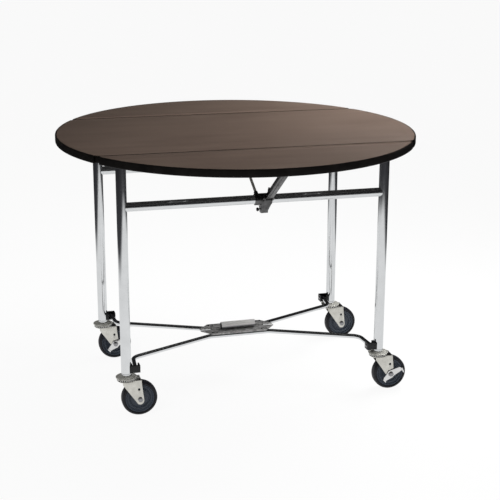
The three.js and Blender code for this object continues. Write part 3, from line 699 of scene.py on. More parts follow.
# ---------------------------------------------------------------- geometry trees
class GeometryTree(NodeTree):
    """A Geometry Nodes tree with named inputs that ends in one finish."""

    def __init__(self, name: str, inputs: dict[str, tuple[str, Any]]) -> None:
        """Makes the tree and its interface.

        Args:
            name: the tree's name.
            inputs: each input's socket type and default value.
        """
        tree = bpy.data.node_groups.new(name, "GeometryNodeTree")
        super().__init__(tree)
        tree.interface.new_socket("Geometry", in_out="INPUT", socket_type="NodeSocketGeometry")
        tree.interface.new_socket("Geometry", in_out="OUTPUT", socket_type="NodeSocketGeometry")
        for key, (kind, default) in inputs.items():
            socket = tree.interface.new_socket(key, in_out="INPUT", socket_type=kind)
            if default is not None:
                socket.default_value = default
        tree.interface.new_socket("Finish", in_out="INPUT", socket_type="NodeSocketMaterial")

    def given(self, name: str) -> Value:
        """One of the tree's inputs."""
        return self.add("NodeGroupInput", output=name)

    def end(self, geometry: Value) -> None:
        """Realises the instances, sets the finish and closes the tree.

        Args:
            geometry: what the tree has made.
        """
        real = self.add("GeometryNodeRealizeInstances", None, {0: geometry})
        done = self.add("GeometryNodeSetMaterial", None, {"Geometry": real, "Material": self.given("Finish")})
        self.add("NodeGroupOutput", None, {"Geometry": done})

    def apply(self, obj: bpy.types.Object, finish: Finish, **values: Any) -> bpy.types.Object:
        """Runs the tree on an object and bakes the result.

        Args:
            obj: the object whose mesh feeds the tree.
            finish: the finish of the result.
            **values: the inputs, by name with _ for a space.

        Returns:
            The object with its plain mesh.
        """
        modifier = obj.modifiers.new(self.data.name, "NODES")
        modifier.node_group = self.data
        wanted = {key.replace("_", " "): value for key, value in values.items()}
        wanted["Finish"] = finish.material
        for item in self.data.interface.items_tree:
            if item.item_type == "SOCKET" and item.in_out == "INPUT" and item.name in wanted:
                modifier[item.identifier] = wanted[item.name]
        bake(obj)
        tidy_mesh(obj.data)
        return obj


def bent_rod_tree() -> GeometryTree:
    """A tree for a round rod along a path of edges with filleted corners.

    Returns:
        The tree.
    """
    tree = GeometryTree("bent_rod", {
        "Radius": ("NodeSocketFloat", 0.006), "Bend Radius": ("NodeSocketFloat", 0.03),
        "Bend Steps": ("NodeSocketInt", 10), "Sides": ("NodeSocketInt", 28)})
    curve = tree.add("GeometryNodeMeshToCurve", None, {0: tree.given("Geometry")})
    soft = tree.add("GeometryNodeFilletCurve", {"mode": "POLY"}, {
        "Curve": curve, "Count": tree.given("Bend Steps"), "Radius": tree.given("Bend Radius"),
        "Limit Radius": True})
    ring = tree.add("GeometryNodeCurvePrimitiveCircle", {"mode": "RADIUS"}, {
        "Resolution": tree.given("Sides"), "Radius": tree.given("Radius")})
    tree.end(tree.add("GeometryNodeCurveToMesh", None, {
        "Curve": soft, "Profile Curve": ring, "Fill Caps": True}))
    return tree


def fastener_tree() -> GeometryTree:
    """A tree for a domed head at every point of a mesh.

    Returns:
        The tree.
    """
    tree = GeometryTree("fastener_heads", {
        "Head Radius": ("NodeSocketFloat", 0.003), "Head Height": ("NodeSocketFloat", 0.0015),
        "Turn": ("NodeSocketVector", None)})
    dome = tree.add("GeometryNodeMeshUVSphere", None, {"Segments": 20, "Rings": 10, "Radius": 1.0})
    size = tree.add("ShaderNodeCombineXYZ", None, {
        0: tree.given("Head Radius"), 1: tree.given("Head Radius"), 2: tree.given("Head Height")})
    flat = tree.add("GeometryNodeTransform", None, {"Geometry": dome, "Scale": size})
    tree.end(tree.add("GeometryNodeInstanceOnPoints", None, {
        "Points": tree.given("Geometry"), "Instance": flat, "Rotation": tree.given("Turn")}))
    return tree


def ball_ring_tree() -> GeometryTree:
    """A tree for a ring of bearing balls at every point of a mesh.

    Returns:
        The tree.
    """
    tree = GeometryTree("ball_ring", {
        "Count": ("NodeSocketInt", 24), "Ring Radius": ("NodeSocketFloat", 0.025),
        "Ball Radius": ("NodeSocketFloat", 0.0025)})
    ring = tree.add("GeometryNodeMeshCircle", None, {
        "Vertices": tree.given("Count"), "Radius": tree.given("Ring Radius")})
    ball = tree.add("GeometryNodeMeshUVSphere", None, {
        "Segments": 14, "Rings": 8, "Radius": tree.given("Ball Radius")})
    balls = tree.add("GeometryNodeInstanceOnPoints", None, {"Points": ring, "Instance": ball})
    tree.end(tree.add("GeometryNodeInstanceOnPoints", None, {
        "Points": tree.given("Geometry"), "Instance": balls}))
    return tree


@dataclass
class Trees:
    """The geometry trees that the sub-assemblies share."""

    rod: GeometryTree = field(default_factory=bent_rod_tree)
    head: GeometryTree = field(default_factory=fastener_tree)
    ball: GeometryTree = field(default_factory=ball_ring_tree)

    @staticmethod
    def points(name: str, points: Sequence[Point], joined: bool = False) -> bpy.types.Object:
        """Makes the points that feed a tree.

        Args:
            name: the object's name.
            points: the points in millimetres.
            joined: edges join the points into a path.

        Returns:
            The object.
        """
        mesh = bpy.data.meshes.new(name)
        edges = [(i, i + 1) for i in range(len(points) - 1)] if joined else []
        mesh.from_pydata([Vector(p) * MM for p in points], edges, [])
        return place_object(name, mesh)

    def bent_rod(self, name: str, path: Sequence[Point], radius: float, bend: float, finish: Finish,
                 body: str, nodes: Iterable[str]) -> None:
        """Makes a rod along a path and dresses it.

        Args:
            name: the piece's name.
            path: the corners of its middle line.
            radius: the rod's radius.
            bend: the radius of the bends.
            finish: its finish.
            body: the CAD body that it rides on.
            nodes: the CAD nodes that it stands for.
        """
        obj = self.points(name, path, joined=True)
        self.rod.apply(obj, finish, Radius=radius * MM, Bend_Radius=bend * MM)
        dress(obj, finish, body, nodes)

    def heads(self, name: str, points: Sequence[Point], size: Spot, body: str,
              finish: Finish = Finish.POLISHED, turn: Point = (0.0, 0.0, 0.0)) -> None:
        """Makes a domed head at each point and dresses them as one piece.

        Args:
            name: the piece's name.
            points: where the heads sit.
            size: a head's radius and height.
            body: the CAD body that they ride on.
            finish: their finish.
            turn: how the heads are turned about X, Y and Z.
        """
        obj = self.points(name, points)
        self.head.apply(obj, finish, Head_Radius=size[0] * MM, Head_Height=size[1] * MM, Turn=turn)
        dress(obj, finish, body)

    def ball_ring(self, name: str, centre: Point, count: int, radii: Spot, body: str) -> None:
        """Makes a ring of bearing balls and dresses it.

        Args:
            name: the piece's name.
            centre: the ring's middle.
            count: the number of balls.
            radii: the ring's radius and a ball's.
            body: the CAD body that it rides on.
        """
        obj = self.points(name, [centre])
        self.ball.apply(obj, Finish.POLISHED, Count=count, Ring_Radius=radii[0] * MM,
                        Ball_Radius=radii[1] * MM)
        dress(obj, Finish.POLISHED, body)


# ---------------------------------------------------------------- sub-assemblies
@dataclass
class RoundTop:
    """Three laminate boards and their black edge moulding."""

    steps: int = 64  # parts of one rim of the centre board; a leaf's rim has twice as many
    ease: float = 0.4
    ease_limit: float = 50.0  # degrees from which a board's edge is eased
    lip: float = 2.4  # width of a black seam strip: painted shade of the gap between boards
    seam_shade_limit: float = 60.0  # degrees from which a seam strip's edge is eased
    backing: float = 0.7  # thickness of the backing sheet
    rim_gap: float = 0.15  # between board and moulding
    skirt: float = 2.5  # how far the moulding hangs below the boards
    edge_r: float = 3.0  # rounding of the moulding's face
    edge_steps: int = 6  # parts of each rounding

    @property
    def centre_reach(self) -> float:
        """The angle from the X axis to the centre board's corners."""
        return math.asin((SEAM_EDGE - CORNER_CUT) / BOARD_R)

    @property
    def leaf_reach(self) -> float:
        """The angle from the X axis to a leaf's corners."""
        return math.asin((LEAF_EDGE + CORNER_CUT) / BOARD_R)

    @staticmethod
    def inset(path: Outline, width: float) -> Outline:
        """Moves a path to its left.

        Args:
            path: the points of the path.
            width: how far it is moved.

        Returns:
            The moved points.
        """
        moved: Outline = []
        for i, (x, y) in enumerate(path):
            (x0, y0), (x1, y1) = path[max(i - 1, 0)], path[min(i + 1, len(path) - 1)]
            length = math.hypot(x1 - x0, y1 - y0)
            moved.append((x - (y1 - y0) / length * width, y + (x1 - x0) / length * width))
        return moved

    def seam(self, edge: float, corner: float) -> Outline:
        """The path along a seam above the middle, from the right-hand rim to the left-hand one.

        Args:
            edge: the seam's Y.
            corner: the Y at which the rounded corners leave the rim.

        Returns:
            The path.
        """
        tip = math.sqrt(BOARD_R ** 2 - edge ** 2)
        start = (math.sqrt(BOARD_R ** 2 - corner ** 2), corner)
        cut = (tip - CORNER_CUT, edge)
        right = [start, *corner_curve(start, (tip, edge), cut), cut]
        return right + [(-x, y) for x, y in reversed(right)]

    def centre_outline(self) -> tuple[Outline, list[Outline]]:
        """Draws the centre board from above.

        Returns:
            The laminate's outline, and the outlines of the two black seam strips that paint the shade of the
            gaps.
        """
        path = self.seam(SEAM_EDGE, SEAM_EDGE - CORNER_CUT)
        inner = self.inset(path, self.lip)
        rim = ellipse((0.0, 0.0), (BOARD_R, BOARD_R), arc(-self.centre_reach, self.centre_reach, self.steps))
        half = rim + inner
        # the black strip between the seam and its inset: painted shade of the gap between boards
        lip = path + inner[::-1]
        return half + [(-x, -y) for x, y in half], [lip, [(-x, -y) for x, y in lip]]

    def leaf_outline(self) -> tuple[Outline, list[Outline]]:
        """Draws the near leaf from above.

        Returns:
            The laminate's outline, and the outline of the black seam strip that paints the shade of the gap.
        """
        path = [(x, -y) for x, y in self.seam(LEAF_EDGE, LEAF_EDGE + CORNER_CUT)]
        inner = self.inset(path, self.lip)
        angles = arc(math.pi + self.leaf_reach, 2 * math.pi - self.leaf_reach, 2 * self.steps)
        rim = ellipse((0.0, 0.0), (BOARD_R, BOARD_R), angles)
        return rim + inner, [path + inner[::-1]]

    def moulding(self, name: str, angles: Sequence[float], body: str) -> None:
        """Makes one run of edge moulding with a rounded face.

        Args:
            name: the CAD node that it stands for.
            angles: the angles that it runs through.
            body: the CAD body that it rides on.
        """
        inner, low, high, soft = BOARD_R + self.rim_gap, UNDERSIDE - self.skirt, TABLE_H, self.edge_r
        middle = TOP_R - soft
        quarter = arc(0.0, math.pi / 2, self.edge_steps)
        section = [(inner, low)]
        section += [(middle + soft * math.sin(a), low + soft - soft * math.cos(a)) for a in quarter]
        section += [(middle + soft * math.cos(a), high - soft + soft * math.sin(a)) for a in quarter]
        section.append((inner, high))
        dress(mesh_object(name + "_band", sector_sweep(section, angles)), Finish.EDGING, body, [name])

    def board(self, name: str, outlines: tuple[Outline, list[Outline]], side: Side, body: str) -> None:
        """Makes one board with eased edges, black seam strips that paint the shade of the gaps, and a dark
        backing sheet.

        Args:
            name: the CAD node that it stands for.
            outlines: the outlines of the laminate and of its black seam strips.
            side: the side to which the outlines are turned.
            body: the CAD body that it rides on.
        """
        outline, seam_shade_strips = outlines
        sheet_top = UNDERSIDE + self.backing
        trim = Shape()
        # black strips along the seams: painted shade of the narrow gaps between the boards
        for lip in seam_shade_strips:
            trim.join(prism(lip, UNDERSIDE, TABLE_H, Axis.Z).moved(side.turn))
        seam_shade_piece = round_edges(mesh_object(name + "_seam_lip", trim), self.ease, self.seam_shade_limit)
        dress(seam_shade_piece, Finish.EDGING, body)
        core = prism(outline, sheet_top, TABLE_H, Axis.Z).moved(side.turn)
        core_piece = round_edges(mesh_object(name + "_board", core), self.ease, self.ease_limit)
        dress(core_piece, Finish.LAMINATE, body, [name])
        sheet = prism(outline, UNDERSIDE, sheet_top, Axis.Z).moved(side.turn)
        dress(mesh_object(name + "_backing", sheet), Finish.BACKING, body)

    def build(self) -> None:
        """Makes the boards and the mouldings."""
        self.board("centre_leaf", self.centre_outline(), Side.NEAR, "centre_top")
        self.board("near_leaf", self.leaf_outline(), Side.NEAR, "near_leaf")
        self.board("far_leaf", self.leaf_outline(), Side.FAR, "far_leaf")
        turn, side, leaf = math.pi, self.centre_reach, self.leaf_reach
        self.moulding("edging_right", arc(-side, side, self.steps), "centre_top")
        self.moulding("edging_left", arc(turn - side, turn + side, self.steps), "centre_top")
        self.moulding("edging_near", arc(turn + leaf, 2 * turn - leaf, 2 * self.steps), "near_leaf")
        self.moulding("edging_far", arc(leaf, turn - leaf, 2 * self.steps), "far_leaf")


@dataclass
class SidePart:
    """What the sub-assemblies of one side share."""

    trees: Trees
    side: Side

    def label(self, piece: str) -> str:
        """A piece's name with its side in front."""
        return f"{self.side.value}_{piece}"

    def at(self, x: float, y: float, z: float) -> Point:
        """A near point carried to this side."""
        return tuple(self.side.turn @ Vector((x, y, z)))


@dataclass
class LeafHinges(SidePart):
    """Butt hinges of one drop leaf with their screws."""

    hinge_x: float = 200.0
    seam_y: float = 267.0
    plate_low: float = 740.7
    screw_x: float = 20.0
    screw_out: Spot = (13.0, 28.0)  # from the seam
    head: Spot = (3.4, 1.1)  # radius and height, as in every head size below
    ease: float = 0.3

    def screws(self, name: str, way: int, body: str) -> None:
        """Makes the screw heads of the plates on one side of the seam.

        Args:
            name: the piece's name without its side.
            way: 1 towards the table's middle and -1 away from it.
            body: the CAD body that they ride on.
        """
        points = [self.at(x + dx, -self.seam_y + way * out, self.plate_low)
                  for x in (-self.hinge_x, self.hinge_x) for dx in (-self.screw_x, self.screw_x)
                  for out in self.screw_out]
        self.trees.heads(self.label(name), points, self.head, body)

    def build(self) -> None:
        """Makes the hinges."""
        for end in ("left", "right"):
            refine(self.label(f"hinge_fixed_{end}"), Finish.STEEL, self.ease)
            refine(self.label(f"hinge_moving_{end}"), Finish.STEEL, self.ease)
        self.screws("fixed_hinge_screws", 1, "centre_top")
        self.screws("moving_hinge_screws", -1, self.label("leaf"))


@dataclass
class TubeFrame(SidePart):
    """Legs, rail and pivot yokes of one side.

    The profiles of a leg and its cap are pairs of an inset from leg_r and a height.
    """

    leg_r: float = 14.3
    leg_ease: float = 0.8
    groove: Profile = ((0.0, 6.0), (0.5, 6.6), (0.5, 7.6), (0.0, 8.2))  # above LEG_BOTTOM
    plain: Spot = (11.0, 4.0)  # the plain tube's start above LEG_BOTTOM and its end below cap_low
    tube_tip: Profile = ((0.0, 1.0), (0.6, 0.2))  # below cap_low
    cap_low: float = 735.0
    cap_gap: float = 0.05
    cap_foot: Profile = ((0.4, 0.05), (0.0, 0.6))  # above cap_low
    cap_dome: Profile = ((0.0, 4.6), (0.9, 2.6), (3.2, 1.0), (5.9, 0.15), (6.9, 0.0))  # below cap_top
    cap_top: float = 742.4
    rail_r: float = 12.7
    rail_bite: float = 0.55  # from a leg's axis to the rail's end, in leg radii
    yoke_ease: float = 2.6
    pin_x: float = 339.4
    pin_head: Spot = (5.0, 2.0)

    @property
    def body(self) -> str:
        """The CAD body of this frame."""
        return self.label("frame")

    @property
    def y(self) -> float:
        """The Y of the legs' and the rail's middle."""
        return -LEG_Y if self.side is Side.NEAR else LEG_Y

    def leg(self, end: str, x: float) -> None:
        """Makes one chrome leg with a groove near its foot, and its black rest cap.

        Args:
            end: left or right.
            x: the leg's X.
        """
        r, low, cap, top = self.leg_r, LEG_BOTTOM, self.cap_low, self.cap_top
        place = Matrix.Translation((x, self.y, 0.0))
        tube = revolve([(0.0, low), (r - self.leg_ease, low), (r, low + self.leg_ease),
                        *((r - depth, low + height) for depth, height in self.groove),
                        (r, low + self.plain[0]), (r, cap - self.plain[1]),
                        *((r - inset, cap - drop) for inset, drop in self.tube_tip), (0.0, cap)], 64, place)
        dress(mesh_object(self.label(f"{end}_leg_tube"), tube), Finish.CHROME, self.body,
              [self.label(f"leg_{end}")])
        rest = revolve([(0.0, cap + self.cap_gap),
                        *((r - inset, cap + rise) for inset, rise in self.cap_foot),
                        *((r - inset, top - drop) for inset, drop in self.cap_dome), (0.0, top)], 48, place)
        dress(mesh_object(self.label(f"{end}_rest_cap"), rest), Finish.NYLON, self.body)

    def rail(self) -> None:
        """Makes the chrome cross rail, whose ends are inside the legs."""
        half = LEG_X - self.leg_r * self.rail_bite
        shape = round_bar((-half, self.y, RAIL_Z), (half, self.y, RAIL_Z), self.rail_r, 64)
        dress(mesh_object(self.label("rail_tube"), shape), Finish.CHROME, self.body, [self.label("rail")])

    def yokes(self) -> None:
        """Makes the black pivot yokes and their pin heads."""
        for end in ("left", "right"):
            refine(self.label(f"bush_{end}"), Finish.NYLON, self.yoke_ease, 4)
        points = [self.at(x, -LEG_Y, ROD_Z) for x in (-self.pin_x, self.pin_x)]
        self.trees.heads(self.label("yoke_pin_heads"), points, self.pin_head, self.body, Finish.DARK_CHROME,
                         (0.0, math.pi / 2, 0.0))

    def build(self) -> None:
        """Makes the frame."""
        self.leg("left", -LEG_X)
        self.leg("right", LEG_X)
        self.rail()
        self.yokes()


@dataclass
class FoldingStretcher(SidePart):
    """Bent rod, fold plate and, on the near side, the lifting grip."""

    rod_r: float = 6.75
    bend_r: float = 35.0
    path: Profile = ((352.5, -234.0), (346.0, -150.0), (93.0, -34.0))
    pin_x: float = 352.5
    pin_half: float = 10.3
    pin_r: float = 3.5
    rivet_x: Spot = (70.0, 82.0)
    rivet_y: float = 34.0
    rivet_head: Spot = (4.2, 2.2)
    plate_top: float = 150.05
    grip_r: float = 12.0
    grip_wall: float = 1.6
    grip_half: float = 52.5
    grip_place: Spot = (-13.0, 162.35)  # Y and Z of the grip's axis
    tube_ease: Point = (0.3, 0.4, 0.5)  # at the tube's ends: inside, across and along
    tube_fit: Point = (0.93, 0.93, 0.995)  # scale that keeps the tube inside its sleeve
    sleeve_wall: float = 0.75
    sleeve_ease: Spot = (0.1, 0.4)  # across and along
    lit_sleeve_sweep: Spot = (98.0, 262.0)  # degrees about the grip's axis: the upper half only, so its pale top is partly painted highlight
    saddle_x: float = 38.0
    saddle_half: Point = (7.0, 6.0, 5.0)  # half sizes: along X, at the foot and at the neck
    saddle_low: float = 150.35
    saddle_rise: Spot = (2.0, 0.6)  # above the grip's lowest line, at the neck and in the middle

    @property
    def body(self) -> str:
        """The CAD body of this stretcher."""
        return self.label("stretcher")

    def rod(self) -> None:
        """Makes the bent rod with its pivot pins."""
        flat = [*((-x, y) for x, y in self.path), *reversed(self.path)]
        self.trees.bent_rod(self.label("bent_rod"), [self.at(x, y, ROD_Z) for x, y in flat], self.rod_r,
                            self.bend_r, Finish.CHROME, self.body, [self.label("stretcher")])
        pins = Shape()
        for x in (-self.pin_x, self.pin_x):
            pins.join(round_bar((x - self.pin_half, -LEG_Y, ROD_Z), (x + self.pin_half, -LEG_Y, ROD_Z),
                                self.pin_r, 20, 0.4))
        dress(mesh_object(self.label("pivot_pins"), pins.moved(self.side.turn)), Finish.ZINC, self.body)

    def rivets(self) -> None:
        """Makes the rivets that hold the fold plate on its rod."""
        points = [self.at(s * x, -self.rivet_y, self.plate_top) for s in (-1, 1) for x in self.rivet_x]
        self.trees.heads(self.label("plate_rivets"), points, self.rivet_head, self.body)

    def grip_tube(self, place: Matrix) -> None:
        """Makes the grip's inner tube, whose darker chrome below the sleeve is painted shade under the grip.

        Args:
            place: carries the Z axis onto the grip's axis.
        """
        r, inner, half = self.grip_r, self.grip_r - self.grip_wall, self.grip_half
        inside, across, along = self.tube_ease
        mouth = ((inner, inside), (inner + inside, 0.0), (r - across, 0.0), (r, along))
        ring = [*((radius, back - half) for radius, back in mouth),
                *((radius, half - back) for radius, back in reversed(mouth))]
        tube = revolve(ring, 72, place @ Matrix.Diagonal((*self.tube_fit, 1.0)), closed=True)
        dress(mesh_object("lift_grip_tube", tube), Finish.DARK_CHROME, self.body, ["lift_handle"])

    def grip_lit_sleeve(self, place: Matrix) -> None:
        """Makes the pale sleeve over the grip's upper half: the grip's own pale colour, kept to the top as a
        painted highlight.

        Args:
            place: carries the Z axis onto the grip's axis.
        """
        r, inner, half = self.grip_r, self.grip_r - self.sleeve_wall, self.grip_half
        across, along = self.sleeve_ease
        wall = [(inner, -half), (r - across, -half), (r, along - half), (r, half - along),
                (r - across, half), (inner, half)]
        start, end = (math.radians(angle) for angle in self.lit_sleeve_sweep)
        sleeve = sector_sweep(wall, arc(start, end, 40)).moved(place)
        dress(mesh_object("lift_grip_lit_sleeve", sleeve), Finish.GRIP, self.body)

    def grip_saddles(self) -> None:
        """Makes the two saddles that carry the grip on the plate."""
        y, z = self.grip_place
        half, foot, neck = self.saddle_half
        side, middle = (z - self.grip_r + rise for rise in self.saddle_rise)
        outline = [(y - foot, self.saddle_low), (y + foot, self.saddle_low), (y + neck, side), (y, middle),
                   (y - neck, side)]
        saddles = Shape()
        for x in (-self.saddle_x, self.saddle_x):
            saddles.join(prism(outline, x - half, x + half, Axis.X))
        dress(round_edges(mesh_object("lift_grip_saddles", saddles), 0.4), Finish.ZINC, self.body)

    def build(self) -> None:
        """Makes the stretcher."""
        self.rod()
        self.rivets()
        refine(self.label("fold_plate"), Finish.WORN, 0.6)
        if self.side is Side.NEAR:
            refine("fold_pin", Finish.POLISHED, 0.4)
            y, z = self.grip_place
            place = Matrix.Translation((0.0, y, z)) @ Matrix.Rotation(math.pi / 2, 4, "Y")
            self.grip_tube(place)
            self.grip_lit_sleeve(place)
            self.grip_saddles()


@dataclass
class LeafSupport(SidePart):
    """Hub, prop, plunger, stay and wear plate of one side.

    The knob's profiles are radius and distance along the plunger.
    """

    knob_place: Point = (5.6, -232.0, 581.0)
    knob_ball: Profile = ((0.0, 0.4), (3.6, 0.4), (4.2, 1.0), (4.9, 2.0), (5.4, 3.4), (5.45, 4.4), (5.0, 5.8),
                          (4.0, 6.8), (2.4, 7.3), (0.0, 7.4))
    knob_stem: Profile = ((0.0, -15.6), (2.6, -15.6), (2.9, -15.2), (2.9, 0.3), (0.0, 0.3))
    wear_screws: tuple[Point, ...] = ((28.0, -444.5, 741.2), (28.0, -410.5, 741.2))
    wear_head: Spot = (3.2, 0.35)
    collar_screw: Point = (5.0, -236.2, 594.8)
    collar_head: Spot = (3.8, 2.6)
    collar_lean: float = math.radians(-30.0)
    pad_screws: tuple[Point, ...] = ((-17.5, -49.0, 740.2), (-17.5, -35.0, 740.2))
    pad_head: Spot = (3.0, 1.0)

    @property
    def body(self) -> str:
        """The CAD body that carries the hub."""
        return "centre_top" if self.side is Side.NEAR else "far_frame"

    def knob(self) -> None:
        """Makes the plunger: a black ball grip on a bright stem."""
        place = Matrix.Translation(self.knob_place) @ Matrix.Rotation(-math.pi / 2, 4, "Y")
        ball = revolve(self.knob_ball, 40, place).moved(self.side.turn)
        dress(mesh_object(self.label("plunger_grip"), ball), Finish.NYLON, self.label("knob"),
              [self.label("release_knob")])
        stem = revolve(self.knob_stem, 24, place).moved(self.side.turn)
        dress(mesh_object(self.label("plunger_stem"), stem), Finish.CHROME, self.label("knob"))

    def screws(self, name: str, points: Sequence[Point], size: Spot, body: str, lean: float = 0.0) -> None:
        """Makes a row of screw heads.

        Args:
            name: the piece's name without its side.
            points: where the heads sit on the near side.
            size: a head's radius and height.
            body: the CAD body that they ride on.
            lean: how far the near heads lean back.
        """
        turn = (lean if self.side is Side.NEAR else -lean, 0.0, 0.0)
        self.trees.heads(self.label(name), [self.at(*point) for point in points], size, body, turn=turn)

    def build(self) -> None:
        """Makes the support."""
        refine(self.label("support_hub"), Finish.STEEL, 0.7, 3)
        refine(self.label("prop"), Finish.STEEL, 0.35)
        refine(self.label("stay_rod"), Finish.DISH, 0.3)
        refine(self.label("wear_plate"), Finish.ZINC, 0.3)
        self.knob()
        self.screws("wear_plate_screws", self.wear_screws, self.wear_head, self.label("leaf"))
        self.screws("collar_screw", [self.collar_screw], self.collar_head, self.body, self.collar_lean)
        if self.side is Side.NEAR:
            self.screws("stay_pad_screws", self.pad_screws, self.pad_head, self.body)


@dataclass
class Caster:
    """One swivel caster: race, fork, wheel, tyre and perhaps a brake.

    The profiles of race and crown are radius and height. Those of disc and tread are radius and distance
    from the wheel's middle. The fork's other numbers along X count from the swivel axis.
    """

    trees: Trees
    corner: str
    x: float
    y: float
    braked: bool
    race_dish: Profile = ((0.0, 111.8), (21.8, 111.8), (22.3, 112.3), (22.3, 114.6), (23.2, 115.3),
                          (28.6, 115.3), (29.7, 115.7), (30.0, 116.5), (29.9, 117.4), (29.0, 118.0),
                          (26.0, 118.3), (20.5, 119.6), (17.0, 120.5), (0.0, 120.6))
    ball_count: int = 26
    ball_radii: Spot = (25.3, 2.55)  # the ring's and a ball's
    ball_z: float = 112.0
    crown: Profile = ((0.0, 104.5), (22.0, 104.5), (25.0, 105.6), (26.6, 107.2), (27.0, 108.4), (26.5, 109.0),
                      (22.4, 109.1), (21.0, 109.6), (20.6, 111.3), (0.0, 111.4))
    fork_gap: float = 18.5  # from the middle to a side plate
    fork_t: float = 2.5
    bridge_x: Spot = (-13.0, 40.0)
    bridge_z: Spot = (107.0, 109.6)
    flank_back: Profile = ((-13.0, 109.8), (-13.0, 98.5))
    flank_front: Profile = ((40.5, 98.0), (40.0, 109.8))
    tip_z: float = 48.0
    tip_radii: Spot = (11.0, 12.5)
    tip_sweep: Spot = (208.0, 372.0)  # degrees
    hole_place: Spot = (-3.0, 82.0)  # X from the axle, and Z
    hole_radii: Spot = (3.3, 3.6)
    plate_roll: float = 0.5
    thread_r: float = 4.4
    thread_out: float = 4.6  # how far the thread stands past the seats of nut and bolt head
    axle_r: float = 5.0
    nut: Spot = (7.6, 3.8)  # radius to its corners, and height
    pedal_t: float = 3.5  # room for the brake under the bolt head
    disc_half: Profile = ((5.5, 16.4), (11.4, 16.4), (12.0, 15.8), (12.2, 9.4), (13.2, 8.2), (26.4, 8.0),
                          (27.2, 8.6), (27.7, 10.4), (28.5, 10.9), (29.4, 10.4), (29.9, 8.6), (30.7, 8.0),
                          (36.0, 8.2), (37.2, 9.2), (38.2, 12.4), (39.0, 13.3), (40.4, 13.4), (41.2, 12.8))
    tread_half: Profile = ((41.5, 12.4), (42.2, 13.4), (43.4, 14.2), (44.6, 14.7), (46.0, 14.6), (48.0, 13.6),
                           (49.6, 11.8), (50.5, 9.4), (50.9, 6.0), (51.0, 2.0))

    def label(self, piece: str) -> str:
        """A piece's name with its corner in front."""
        return f"{self.corner}_{piece}"

    @property
    def hub(self) -> float:
        """The axle's X."""
        return self.x + TRAIL

    @property
    def out(self) -> float:
        """How far the fork's outer faces are from its middle."""
        return self.fork_gap + self.fork_t

    @property
    def swivel(self) -> Matrix:
        """The place of the swivel axis."""
        return Matrix.Translation((self.x, self.y, 0.0))

    def race(self) -> None:
        """Makes the fixed upper race with its dished plate."""
        dish = mesh_object(self.label("race_dish"), revolve(self.race_dish, 64, self.swivel))
        dress(dish, Finish.DISH, f"{self.corner.split('_')[0]}_frame", [self.label("race")])

    def balls(self) -> None:
        """Makes the bearing balls between race and crown."""
        self.trees.ball_ring(self.label("bearing_balls"), (self.x, self.y, self.ball_z), self.ball_count,
                             self.ball_radii, self.label("fork"))

    def plate_outlines(self) -> tuple[Outline, Outline]:
        """Draws a side plate of the fork from the side.

        Returns:
            Its outline and its hole.
        """
        start, end = (math.radians(angle) for angle in self.tip_sweep)
        tip = ellipse((self.hub, self.tip_z), self.tip_radii, arc(start, end, 12))
        outline = [*((self.x + u, z) for u, z in self.flank_back), *tip,
                   *((self.x + u, z) for u, z in self.flank_front)]
        along, height = self.hole_place
        hole = ellipse((self.hub + along, height), self.hole_radii, arc(0, 2 * math.pi, 20)[:-1])
        return outline, hole

    def side_plate(self, y: float) -> bpy.types.Mesh:
        """Makes one pressed side plate with its hole and rolled edges.

        Args:
            y: the Y of its middle.

        Returns:
            Its mesh, in place.
        """
        curve = bpy.data.curves.new("plate_outline", "CURVE")
        curve.dimensions = "2D"
        curve.fill_mode = "BOTH"
        for points in self.plate_outlines():
            spline = curve.splines.new("POLY")
            spline.points.add(len(points) - 1)
            for spot, (u, v) in zip(spline.points, points):
                spot.co = (u * MM, v * MM, 0.0, 1.0)
            spline.use_cyclic_u = True
        curve.extrude = (self.fork_t / 2 - self.plate_roll) * MM
        curve.bevel_depth = self.plate_roll * MM
        curve.bevel_resolution = 2
        curve.offset = -self.plate_roll * MM
        flat = place_object("plate_outline", curve)
        graph = bpy.context.evaluated_depsgraph_get()
        mesh = bpy.data.meshes.new_from_object(flat.evaluated_get(graph))
        bpy.data.objects.remove(flat)
        bpy.data.curves.remove(curve)
        mesh.transform(Matrix.Translation((0.0, y * MM, 0.0)) @ Axis.Y.value)
        return mesh

    def fork(self) -> None:
        """Makes the crown, bridge and side plates as one pressed fork."""
        back, front = (self.x + reach for reach in self.bridge_x)
        left, right = self.y - self.out, self.y + self.out
        corners = [(back, left), (front, left), (front, right), (back, right)]
        fork = mesh_object(self.label("fork_body"), revolve(self.crown, 64, self.swivel))
        bridge = round_edges(mesh_object("bridge", prism(corners, *self.bridge_z, Axis.Z)), 0.9, 35.0, 3)
        plates = [self.side_plate(self.y + s * (self.fork_gap + self.fork_t / 2)) for s in (-1, 1)]
        work = bmesh.new()
        for mesh in (fork.data, bridge.data, *plates):
            work.from_mesh(mesh)
        bmesh.ops.remove_doubles(work, verts=work.verts, dist=MERGE / 2)
        bmesh.ops.recalc_face_normals(work, faces=work.faces)
        work.to_mesh(fork.data)
        work.free()
        bpy.data.objects.remove(bridge)
        dress(fork, Finish.ZINC, self.label("fork"), [self.label("fork")], 30.0)

    def bar(self, reach: Spot, radius: float, segments: int, ease: float) -> Shape:
        """A round bar on the axle's line.

        Args:
            reach: its ends, from the fork's middle.
            radius: the bar's radius.
            segments: steps round the bar.
            ease: how far its ends are eased.

        Returns:
            The closed shape.
        """
        start, end = ((self.hub, self.y + far, WHEEL_R) for far in reach)
        return round_bar(start, end, radius, segments, ease)

